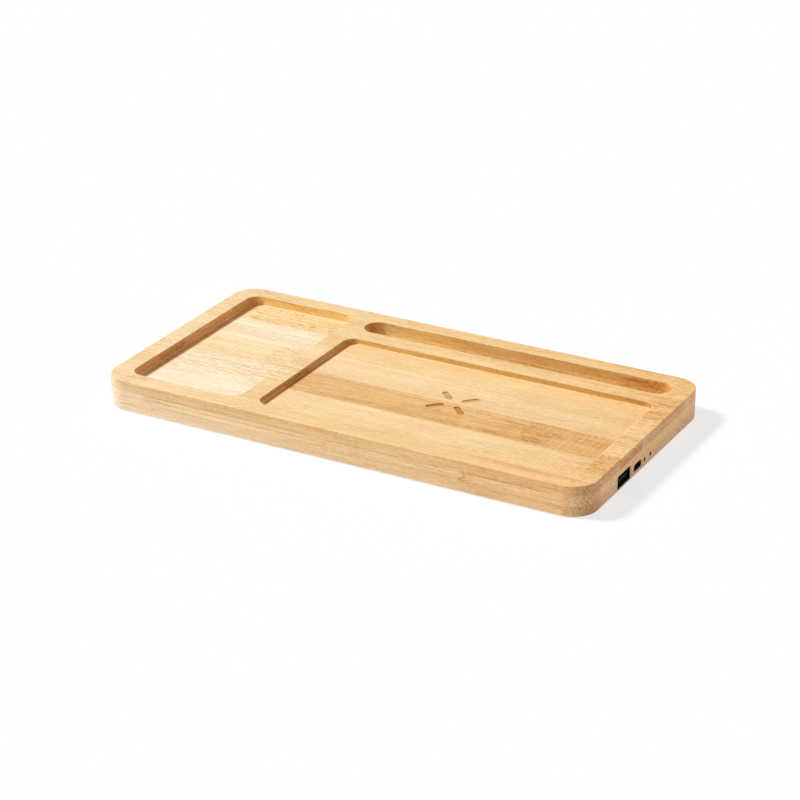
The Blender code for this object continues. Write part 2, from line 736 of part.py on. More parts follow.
def make_feet(rubber):
    profile = (
        (FOOT_RADIUS - FOOT_EDGE, 0),
        (FOOT_RADIUS, FOOT_EDGE),
        (FOOT_RADIUS, FOOT_HEIGHT),
    )
    mesh = turned_mesh("foot", profile, ROUND_STEPS)
    for name, (x, y) in foot_places().items():
        finish(new_object(name, mesh, (x, y, 0)), rubber)


# Charging coil

def polar(radius, degrees, z):
    angle = math.radians(degrees)
    return Vector((radius * math.cos(angle), radius * math.sin(angle), z))


def inner_lead():
    """From the board to the coil's middle: a ramp, then a straight run under all the turns."""
    points = []
    landing = BOARD_X0 + LEAD_LANDING - MARK_X
    for step in range(LEAD_RAMP_STEPS + 1):
        share = step / LEAD_RAMP_STEPS
        z = LANDING_Z + (LEAD_Z - LANDING_Z) * smooth(share)
        points.append(Vector((landing - LEAD_RAMP * share, HOOK_RADIUS, z)))
    return points


def hook():
    """Inside the coil: turns from the run below onto the first turn, climbing to its level."""
    points = []
    first = COIL_START_ANGLE - HOOK_SWEEP
    for step in range(HOOK_STEPS):
        share = step / HOOK_STEPS
        radius = HOOK_RADIUS + (COIL_INNER_RADIUS - HOOK_RADIUS) * smooth(share)
        z = LEAD_Z + (COIL_Z - LEAD_Z) * smooth(share / HOOK_CLIMB_SHARE)
        points.append(polar(radius, first + HOOK_SWEEP * share, z))
    return points


def spiral():
    steps = round(COIL_TURNS * COIL_STEPS_PER_TURN)
    points = []
    for step in range(steps + 1):
        turned = COIL_TURNS * step / steps
        radius = COIL_INNER_RADIUS + COIL_PITCH * turned
        points.append(polar(radius, COIL_START_ANGLE + 360 * turned, COIL_Z))
    return points


def outer_lead(end):
    """From the last turn to the board: straight on, round onto +X, then a ramp down to the board."""
    heading = math.radians(COIL_END_ANGLE + 90 - 360)
    ahead = Vector((math.cos(heading), math.sin(heading), 0))
    start = end + ahead * LEAD_RUN
    centre = start + Vector((math.sin(heading), -math.cos(heading), 0)) * LEAD_BEND_RADIUS
    points = [start]
    for step in range(1, LEAD_BEND_STEPS + 1):
        angle = heading * (1 - step / LEAD_BEND_STEPS)
        points.append(centre + Vector((-math.sin(angle), math.cos(angle), 0)) * LEAD_BEND_RADIUS)
    landing = BOARD_X0 + LEAD_LANDING - MARK_X
    for step in range(LEAD_RAMP_STEPS + 1):
        share = step / LEAD_RAMP_STEPS
        z = COIL_Z + (LANDING_Z - COIL_Z) * smooth(share)
        points.append(Vector((landing - LEAD_RAMP * (1 - share), points[LEAD_BEND_STEPS].y, z)))
    return points


def least_gap(points):
    """The least clear distance between stretches of the wire that do not follow each other."""
    dense = []
    for start, end in zip(points, points[1:]):
        pieces = max(1, round((end - start).length / WIRE_DIAMETER))
        dense += [start.lerp(end, piece / pieces) for piece in range(pieces)]
    dense.append(points[-1])
    apart = round(COIL_INNER_RADIUS / WIRE_DIAMETER)
    least = min(
        (dense[i] - dense[j]).length
        for i in range(len(dense))
        for j in range(i + apart, len(dense))
    )
    return least - WIRE_DIAMETER


def make_coil(copper):
    turns = spiral()
    points = inner_lead() + hook() + turns + outer_lead(turns[-1])
    print(f"charging coil: least gap to itself {1000 * least_gap(points):.3f} mm")
    line = bpy.data.curves.new("charging_coil", "CURVE")
    line.dimensions = "3D"
    line.bevel_depth = WIRE_DIAMETER / 2
    line.bevel_resolution = 1
    line.use_fill_caps = True
    wire = line.splines.new("POLY")
    wire.points.add(len(points) - 1)
    for point, place in zip(wire.points, points):
        point.co = (*place, 1)
    coil = new_object("charging_coil", line, (MARK_X, MARK_Y, 0))
    return finish(coil, copper)


def make_ferrite(grey):
    """The screen under the coil, with a round hole for the hook and a slot for the inner lead."""
    half = FERRITE_SIDE / 2
    outline = rounded_rectangle(-half, half, -half, half, FERRITE_CORNER, BAY_CORNER_STEPS)
    sheet = loft(
        "ferrite_sheet", [at_height(outline, 0), at_height(outline, FERRITE_THICKNESS)],
        place=(MARK_X, MARK_Y, FERRITE_BOTTOM),
    )
    hole = turned_mesh(
        "cut_ferrite_hole",
        (
            (COIL_INNER_RADIUS - WIRE_DIAMETER, FERRITE_BOTTOM - CUT_OVERRUN),
            (COIL_INNER_RADIUS - WIRE_DIAMETER, FERRITE_TOP + CUT_OVERRUN),
        ),
        ROUND_STEPS,
    )
    slot_size = (half + CUT_OVERRUN, WIRE_DIAMETER + 2 * SEAT_GAP, FERRITE_THICKNESS + 2 * CUT_OVERRUN)
    slot_centre = (slot_size[0] / 2, HOOK_RADIUS, (FERRITE_BOTTOM + FERRITE_TOP) / 2)
    cut(
        sheet,
        new_object("cut_ferrite_hole", hole, (MARK_X, MARK_Y, 0)),
        new_object(
            "cut_ferrite_slot", boxes_mesh("cut_ferrite_slot", [(slot_centre, slot_size)]),
            (MARK_X, MARK_Y, 0),
        ),
    )
    return finish(sheet, grey)


def make_foam(foam):
    half = FOAM_SIDE / 2
    outline = rounded_rectangle(-half, half, -half, half, FOAM_CORNER, BAY_CORNER_STEPS)
    height = FOAM_TOP - FOAM_BOTTOM
    rings = [at_height(outline, 0), at_height(outline, height)]
    return finish(loft("foam_pad", rings, place=(MARK_X, MARK_Y, FOAM_BOTTOM)), foam)


# Circuit board and sockets

def make_board(laminate):
    outline = rounded_rectangle(BOARD_X0, BOARD_X1, BOARD_Y0, BOARD_Y1, BOARD_CORNER, SMALL_CORNER_STEPS)
    board = loft("circuit_board", [at_height(outline, BOARD_UNDERSIDE), at_height(outline, BOARD_TOP)])
    notch = rectangle(
        SOCKET_NOTCH_X0, BOARD_X1 + CUT_OVERRUN, USB_A_Y - USB_A_WIDTH / 2 - SEAT_GAP,
        USB_A_Y + USB_A_WIDTH / 2 + SEAT_GAP,
    )
    low = BOARD_UNDERSIDE - CUT_OVERRUN
    high = BOARD_TOP + CUT_OVERRUN
    cut(board, loft("cut_socket_notch", [at_height(notch, low), at_height(notch, high)]))
    for number, (x, y) in enumerate(board_screw_places(), 1):
        cut(board, drill(f"cut_board_hole_{number}", x, y, SCREW_RADIUS + SEAT_GAP, low, high))
    return finish(board, laminate)


def socket_shell(name, outline, sheet, length, metal):
    """A folded shell that is open at its mouth and closed behind. outline takes a growth."""
    back = SOCKET_MOUTH - length
    return finish(loft(name, [
        at_station(outline(0), back),
        at_station(outline(0), SOCKET_MOUTH),
        at_station(outline(-sheet), SOCKET_MOUTH),
        at_station(outline(-sheet), back + sheet),
    ]), metal)


def add_wings(shell):
    """The USB-A shell hangs in the board's notch by two flat wings along each side."""
    z = BOARD_TOP + SEAT_GAP + USB_A_SHEET / 2
    reach = WING_OVERLAP + WING_REACH
    offset = USB_A_WIDTH / 2 - WING_OVERLAP + reach / 2
    for side in (-1, 1):
        for number, share in enumerate(WING_PLACE_SHARES, 1):
            x = SOCKET_MOUTH - USB_A_LENGTH * (1 - share)
            name = f"add_wing_{'front' if side < 0 else 'back'}_{number}"
            wing = ((x, USB_A_Y + side * offset, z), (WING_LENGTH, reach, USB_A_SHEET))
            add(shell, new_object(name, boxes_mesh(name, [wing])))


def rod_through(name, stations, place):
    """A solid along X through (x, outline) stations, whose outlines are in Y and Z."""
    return loft(name, [at_station(outline, x) for x, outline in stations], place)


def make_usb_a(black_steel, black_plastic, gold):
    add_wings(socket_shell("usb_a_shell", usb_a_outline, USB_A_SHEET, USB_A_LENGTH, black_steel))
    inside = USB_A_SHEET + SOCKET_GAP
    back = SOCKET_MOUTH - USB_A_LENGTH + inside
    step = back + TONGUE_BLOCK_LENGTH
    front = SOCKET_MOUTH - TONGUE_SETBACK
    side = USB_A_WIDTH / 2 - inside
    half = USB_A_HEIGHT / 2 - inside
    tongue_bottom = -USB_A_HEIGHT / 2 + USB_A_SHEET + TONGUE_LIFT
    tongue_top = tongue_bottom + TONGUE_THICKNESS
    reach = USB_A_WIDTH / 2 - TONGUE_MARGIN
    block = rectangle(-side, side, -half, half)
    tongue = rectangle(-reach, reach, tongue_bottom, tongue_top)
    tip = rectangle(
        TONGUE_EDGE - reach, reach - TONGUE_EDGE, tongue_bottom + TONGUE_EDGE, tongue_top - TONGUE_EDGE
    )
    stations = ((back, block), (step, block), (step, tongue), (front - TONGUE_EDGE, tongue), (front, tip))
    finish(rod_through("usb_a_tongue", stations, (0, USB_A_Y, USB_A_Z)), black_plastic)
    contact = contact_mesh(step + SOCKET_GAP, front - CONTACT_SETBACK)
    for number, offset in enumerate(CONTACT_OFFSETS, 1):
        place = (0, USB_A_Y + offset, USB_A_Z + tongue_top + SOCKET_GAP)
        finish(new_object(f"usb_a_contact_{number}", contact, place), gold)


def contact_mesh(back, front):
    """A springy strip along the tongue, raised to a crest near its front end."""
    length = front - back
    under = [(back + length * along, CONTACT_CREST * rise) for along, rise in CONTACT_LINE_SHARES]
    over = [(x, z + CONTACT_THICKNESS) for x, z in reversed(under)]
    half = CONTACT_WIDTH / 2
    return loft_mesh("usb_a_contact", [
        [(x, -half, z) for x, z in under + over],
        [(x, half, z) for x, z in under + over],
    ])


def make_micro_usb(black_steel, black_plastic):
    socket_shell("micro_usb_shell", micro_outline, MICRO_SHEET, MICRO_LENGTH, black_steel)
    inside = MICRO_SHEET + SOCKET_GAP
    back = SOCKET_MOUTH - MICRO_LENGTH + inside
    step = back + MICRO_BLOCK_LENGTH
    front = SOCKET_MOUTH - MICRO_TONGUE_SETBACK
    reach = MICRO_WIDTH / 2 - MICRO_TONGUE_MARGIN
    half = MICRO_TONGUE_THICKNESS / 2
    block_half = MICRO_HEIGHT / 2 - inside
    block_side = MICRO_WIDTH / 2 - inside - MICRO_CHAMFER_WIDTH
    block = rectangle(-block_side, block_side, -block_half, block_half)
    tongue = rectangle(-reach, reach, -half, half)
    stations = ((back, block), (step, block), (step, tongue), (front, tongue))
    finish(rod_through("micro_usb_tongue", stations, (0, MICRO_Y, MICRO_Z)), black_plastic)


def make_lights(smoky):
    """Side-facing lights at the board's edge, each behind its pinhole."""
    half = LIGHT_WIDTH / 2
    rise = LIGHT_HEIGHT / 2
    front = BOARD_X1
    base = rectangle(-half, half, -rise, rise)
    lens = rectangle(LIGHT_EDGE - half, half - LIGHT_EDGE, LIGHT_EDGE - rise, rise - LIGHT_EDGE)
    rings = [
        at_station(base, front - LIGHT_DEPTH),
        at_station(base, front - LIGHT_EDGE),
        at_station(lens, front),
    ]
    mesh = loft_mesh("status_light", rings)
    for number, y in enumerate(light_places(), 1):
        finish(new_object(f"status_light_{number}", mesh, (0, y, LIGHT_Z)), smoky)


# Parts under the board

def board_place(shares):
    """A place on the board's underside, from a pair of shares."""
    along, across = shares
    free = SOCKET_NOTCH_X0 - BOARD_X0
    return (BOARD_X0 + free * along, BOARD_Y0 + (BOARD_Y1 - BOARD_Y0) * across, PART_TOP)


def block_mesh(name, size, edge, corner=0):
    """A moulded block that hangs down from height 0, with its lower edges broken."""
    width, depth, height = size
    rings = []
    for inset, z in ((0, 0), (0, edge - height), (edge, -height)):
        bounds = (inset - width / 2, width / 2 - inset, inset - depth / 2, depth / 2 - inset)
        if corner:
            outline = rounded_rectangle(*bounds, corner - inset, SMALL_CORNER_STEPS)
        else:
            outline = rectangle(*bounds)
        rings.append(at_height(outline, z))
    return loft_mesh(name, rings)


def legged_chip(name, size, leg, pitch, legs_per_side):
    """A moulded chip with a row of flat legs along both long sides."""
    body = new_object(f"{name}_blank", block_mesh(f"{name}_blank", size, CHIP_EDGE))
    leg_width, leg_reach, leg_thickness = leg
    boxes = []
    for index in range(legs_per_side):
        x = pitch * (index - (legs_per_side - 1) / 2)
        span = size[1] + 2 * leg_reach
        boxes.append(((x, 0, -leg_thickness), (leg_width, span, leg_thickness)))
    legs = new_object(f"add_{name}_legs", boxes_mesh(f"add_{name}_legs", boxes))
    add(body, legs)
    return evaluated_mesh(name, helper(body))


def resonant_mesh():
    """A chip capacitor: its metal ends stand a little proud of its body."""
    width, depth, height = RESONANT_SIZE
    rings = []
    ends = depth / 2
    body = ends - RESONANT_END
    stations = ((-ends, 0), (-body, 0), (-body, RESONANT_STEP), (body, RESONANT_STEP), (body, 0), (ends, 0))
    for y, inset in stations:
        outline = rectangle(inset - width / 2, width / 2 - inset, inset - height, -inset)
        rings.append([(x, y, z) for x, z in outline])
    return loft_mesh("resonant_capacitor", rings)


def make_parts(black, grey, ceramic):
    controller = block_mesh("charge_controller", CONTROLLER_SIZE, CHIP_EDGE)
    finish(new_object("charge_controller", controller, board_place(CONTROLLER_PLACE_SHARES)), black)
    driver = legged_chip("coil_driver", DRIVER_SIZE, DRIVER_LEG, DRIVER_LEG_PITCH, DRIVER_LEGS_PER_SIDE)
    for number, shares in enumerate(DRIVER_PLACE_SHARES, 1):
        finish(new_object(f"coil_driver_{number}", driver, board_place(shares)), black)
    output = legged_chip(
        "usb_output_controller", OUTPUT_CHIP_SIZE, OUTPUT_LEG, OUTPUT_LEG_PITCH, OUTPUT_LEGS_PER_SIDE
    )
    finish(new_object("usb_output_controller", output, board_place(OUTPUT_CHIP_PLACE_SHARES)), black)
    inductor = block_mesh("power_inductor", INDUCTOR_SIZE, CHIP_EDGE, INDUCTOR_CORNER)
    finish(new_object("power_inductor", inductor, board_place(INDUCTOR_PLACE_SHARES)), grey)
    resonant = resonant_mesh()
    for number, shares in enumerate(RESONANT_PLACE_SHARES, 1):
        finish(new_object(f"resonant_capacitor_{number}", resonant, board_place(shares)), ceramic)
    input_capacitor = block_mesh("input_capacitor", INPUT_CAPACITOR_SIZE, CHIP_EDGE)
    for number, shares in enumerate(INPUT_CAPACITOR_PLACE_SHARES, 1):
        finish(new_object(f"input_capacitor_{number}", input_capacitor, board_place(shares)), ceramic)


def main():
    for old in list(bpy.data.objects):
        bpy.data.objects.remove(old, do_unlink=True)
    bamboo = make_material("bamboo", (0.80, 0.56, 0.30), 0.5)
    dark_plastic = make_material("dark plastic", (0.03, 0.03, 0.03), 0.55)
    rubber = make_material("rubber", (0.05, 0.05, 0.05), 0.8)
    steel = make_material("steel", (0.55, 0.55, 0.56), 0.3, 1)
    black_steel = make_material("blackened steel", (0.03, 0.03, 0.032), 0.4, 1)
    socket_plastic = make_material("socket plastic", (0.02, 0.02, 0.02), 0.4)
    gold = make_material("contact gold", (0.83, 0.60, 0.25), 0.3, 1)
    copper = make_material("coil copper", (0.70, 0.33, 0.15), 0.35, 1)
    ferrite = make_material("ferrite", (0.09, 0.09, 0.10), 0.6)
    foam = make_material("foam", (0.10, 0.10, 0.10), 0.95)
    laminate = make_material("board laminate", (0.03, 0.16, 0.07), 0.45)
    light_body = make_material("light body", (0.06, 0.05, 0.04), 0.3)
    ceramic = make_material("capacitor body", (0.45, 0.33, 0.20), 0.5)

    make_tray(bamboo)
    make_cover(dark_plastic)
    make_cover_screws(steel)
    make_feet(rubber)
    make_coil(copper)
    make_ferrite(ferrite)
    make_foam(foam)
    make_board(laminate)
    make_board_screws(steel)
    make_usb_a(black_steel, socket_plastic, gold)
    make_micro_usb(black_steel, socket_plastic)
    make_lights(light_body)
    make_parts(socket_plastic, ferrite, ceramic)


main()
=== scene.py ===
import math

import bmesh
import bpy
from mathutils import Matrix, Vector


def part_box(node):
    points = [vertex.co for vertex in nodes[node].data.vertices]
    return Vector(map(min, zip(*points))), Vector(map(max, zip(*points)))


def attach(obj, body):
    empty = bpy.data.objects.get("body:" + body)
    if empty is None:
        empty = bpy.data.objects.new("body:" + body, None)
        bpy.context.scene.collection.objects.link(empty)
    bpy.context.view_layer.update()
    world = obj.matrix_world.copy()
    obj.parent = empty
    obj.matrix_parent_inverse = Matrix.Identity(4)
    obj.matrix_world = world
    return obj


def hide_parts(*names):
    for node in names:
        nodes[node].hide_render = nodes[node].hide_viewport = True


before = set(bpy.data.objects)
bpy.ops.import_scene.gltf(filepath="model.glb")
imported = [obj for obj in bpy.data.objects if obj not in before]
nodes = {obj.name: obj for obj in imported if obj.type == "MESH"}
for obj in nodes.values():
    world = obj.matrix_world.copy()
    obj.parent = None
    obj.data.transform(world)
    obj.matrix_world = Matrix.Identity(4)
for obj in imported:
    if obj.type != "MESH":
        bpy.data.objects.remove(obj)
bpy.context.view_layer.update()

# A bamboo desk tray with a wireless charger inside it. Sizes below are in millimetres unless a note says
# otherwise: +X runs towards the sockets, +Y towards the pen slot, and the tray stands on z = 0.
mm = 0.001
scene = bpy.context.scene
print("frame loaded:", len(nodes), "nodes")


def span(node):
    # a node's box in millimetres: left, right, front, back, bottom, top
    low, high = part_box(node)
    return [value / mm for value in (low.x, high.x, low.y, high.y, low.z, high.z)]


def centreOf(node):
    left, right, front, back, bottom, top = span(node)
    return (left + right) / 2, (front + back) / 2


def shares(steps):
    # from 0 to 1 in even steps
    return [step / steps for step in range(steps + 1)]


def rgb(red, green, blue):
    # a colour picked on screen, 0 to 255, as the linear values that the shaders take
    linear = []
    for value in (red, green, blue):
        share = value / 255
        linear.append(share / 12.92 if share <= 0.04045 else ((share + 0.055) / 1.055) ** 2.4)
    return tuple(linear)


# Camera

viewpoint = {
    "place": (0.520666, -0.960980, 0.500431),  # metres
    "azimuth": 28.491,  # degrees, 0 looks along +Y
    "elevation": 24.405,
    "roll": 0.198,
    "lens": 115.327,
}


def setCamera():
    camera = bpy.data.objects.new("camera", bpy.data.cameras.new("camera"))
    scene.collection.objects.link(camera)
    camera.data.lens = viewpoint["lens"]
    camera.data.sensor_width = 36.0
    camera.matrix_world = (
        Matrix.Translation(viewpoint["place"])
        @ Matrix.Rotation(math.radians(viewpoint["azimuth"]), 4, "Z")
        @ Matrix.Rotation(math.radians(90 - viewpoint["elevation"]), 4, "X")
        @ Matrix.Rotation(math.radians(viewpoint["roll"]), 4, "Z")
    )
    scene.camera = camera


setCamera()
print("camera set")


# Shader nodes

class Wire:
    # an output socket; sums and products of it add the nodes that work them out
    def __init__(self, shading, socket):
        self.shading = shading
        self.socket = socket

    def many(self):
        return self.socket.type in ("VECTOR", "RGBA")

    def pair(self, operation, other, swapped=False):
        first, second = (other, self) if swapped else (self, other)
        if not (self.many() or isinstance(other, tuple) or (isinstance(other, Wire) and other.many())):
            return self.shading.node("ShaderNodeMath", {"operation": operation}, {0: first, 1: second})
        one = (other,) * 3 if isinstance(other, (int, float)) else other
        first, second = (one, self) if swapped else (self, one)
        return self.shading.node("ShaderNodeVectorMath", {"operation": operation}, {0: first, 1: second})

    def __add__(self, other):
        return self.pair("ADD", other)

    def __radd__(self, other):
        return self.pair("ADD", other, True)

    def __sub__(self, other):
        return self.pair("SUBTRACT", other)

    def __rsub__(self, other):
        return self.pair("SUBTRACT", other, True)

    def __mul__(self, other):
        return self.pair("MULTIPLY", other)

    def __rmul__(self, other):
        return self.pair("MULTIPLY", other, True)

    def __truediv__(self, other):
        return self.pair("DIVIDE", other)

    def __abs__(self):
        return self.shading.node("ShaderNodeMath", {"operation": "ABSOLUTE"}, {0: self})

    def power(self, exponent):
        return self.pair("POWER", exponent)

    def floor(self):
        return self.shading.node("ShaderNodeMath", {"operation": "FLOOR"}, {0: self})

    def sine(self):
        return self.shading.node("ShaderNodeMath", {"operation": "SINE"}, {0: self})

    def most(self, other):
        return self.pair("MAXIMUM", other)

    def least(self, other):
        return self.pair("MINIMUM", other)

    def rise(self, start, end):
        # 0 up to start, 1 from end, eased between; start may be the higher
        low, high = min(start, end), max(start, end)
        eased = self.shading.node(
            "ShaderNodeMapRange",
            {"interpolation_type": "SMOOTHSTEP", "clamp": False},  # smoothstep keeps to 0 and 1 by itself
            {"Value": self, "From Min": low, "From Max": high},
        )
        return eased if start < end else 1 - eased

    def band(self, start, end, soft):
        # 1 between start and end, eased over soft on each side
        half = soft / 2
        return self.rise(start - half, start + half) * self.rise(end + half, end - half)


class Shading:
    # a node tree being wired
    def __init__(self, tree):
        self.tree = tree

    def feed(self, socket, value):
        if isinstance(value, Wire):
            self.tree.links.new(value.socket, socket)
        elif socket.type == "RGBA" and len(value) == 3:
            socket.default_value = (*value, 1.0)
        else:
            socket.default_value = value

    def node(self, kind, settings=None, sockets=None, output=0):
        made = self.tree.nodes.new(kind)
        for name, value in (settings or {}).items():
            if name == "stops":
                ramp = made.color_ramp
                while len(ramp.elements) < len(value):
                    ramp.elements.new(1.0)
                for element, (position, colour) in zip(ramp.elements, value):
                    element.position = position
                    element.color = (*colour, 1.0)
            elif name == "ramp":
                made.color_ramp.interpolation = value
            else:
                setattr(made, name, value)
        for name, value in (sockets or {}).items():
            self.feed(made.inputs[name], value)
        return Wire(self, made.outputs[output])

    def where(self, kind="Object"):
        return self.node("ShaderNodeTexCoord", output=kind)

    def millimetres(self):
        return self.where() * (1 / mm)

    def parts(self, vector):
        split = self.node("ShaderNodeSeparateXYZ", {}, {0: vector})
        return [Wire(self, split.socket.node.outputs[axis]) for axis in range(3)]

    def joined(self, x, y, z):
        return self.node("ShaderNodeCombineXYZ", {}, {0: x, 1: y, 2: z})

    def noise(self, at, scale=1.0, detail=2.0, roughness=0.5, distortion=0.0):
        return self.node("ShaderNodeTexNoise", {}, {
            "Vector": at, "Scale": scale, "Detail": detail, "Roughness": roughness, "Distortion": distortion,
        })

    def blend(self, factor, first, second):
        # as vectors: a colour has to be changed into one for every sum, and with too many changes
        # at once the material turns black
        kind = {"data_type": "VECTOR"}
        return self.node("ShaderNodeMix", kind, {0: factor, 4: first, 5: second}, output=1)

    def tint(self, mask, tone):
        # what a colour is multiplied by: the tone where the mask is 1, nothing where it is 0
        return self.blend(mask, (1, 1, 1), tone)

    def steps(self, value, stops):
        # a ramp that jumps from tone to tone
        return self.node("ShaderNodeValToRGB", {"stops": stops, "ramp": "CONSTANT"}, {0: value})

    def bump(self, height, strength, distance):
        sockets = {"Height": height, "Strength": strength, "Distance": distance}
        return self.node("ShaderNodeBump", {}, sockets)


class Finish(Shading):
    # a material being made
    def __init__(self, name, roughness=0.5, metallic=0.0, **fixed):
        self.material = bpy.data.materials.new(name)
        self.material.use_nodes = True
        super().__init__(self.material.node_tree)
        self.shader = self.tree.nodes["Principled BSDF"]
        self.give(Roughness=roughness, Metallic=metallic, **fixed)

    def give(self, **sockets):
        for words, value in sockets.items():
            self.feed(self.shader.inputs[words.replace("_", " ")], value)
        return self.material

    def coat(self, colour, rough, height, strength, distance, **others):
        # the bump's distance is in metres
        normal = self.bump(height, strength, distance)
        return self.give(Base_Color=colour, Roughness=rough, Normal=normal, **others)


# Bamboo

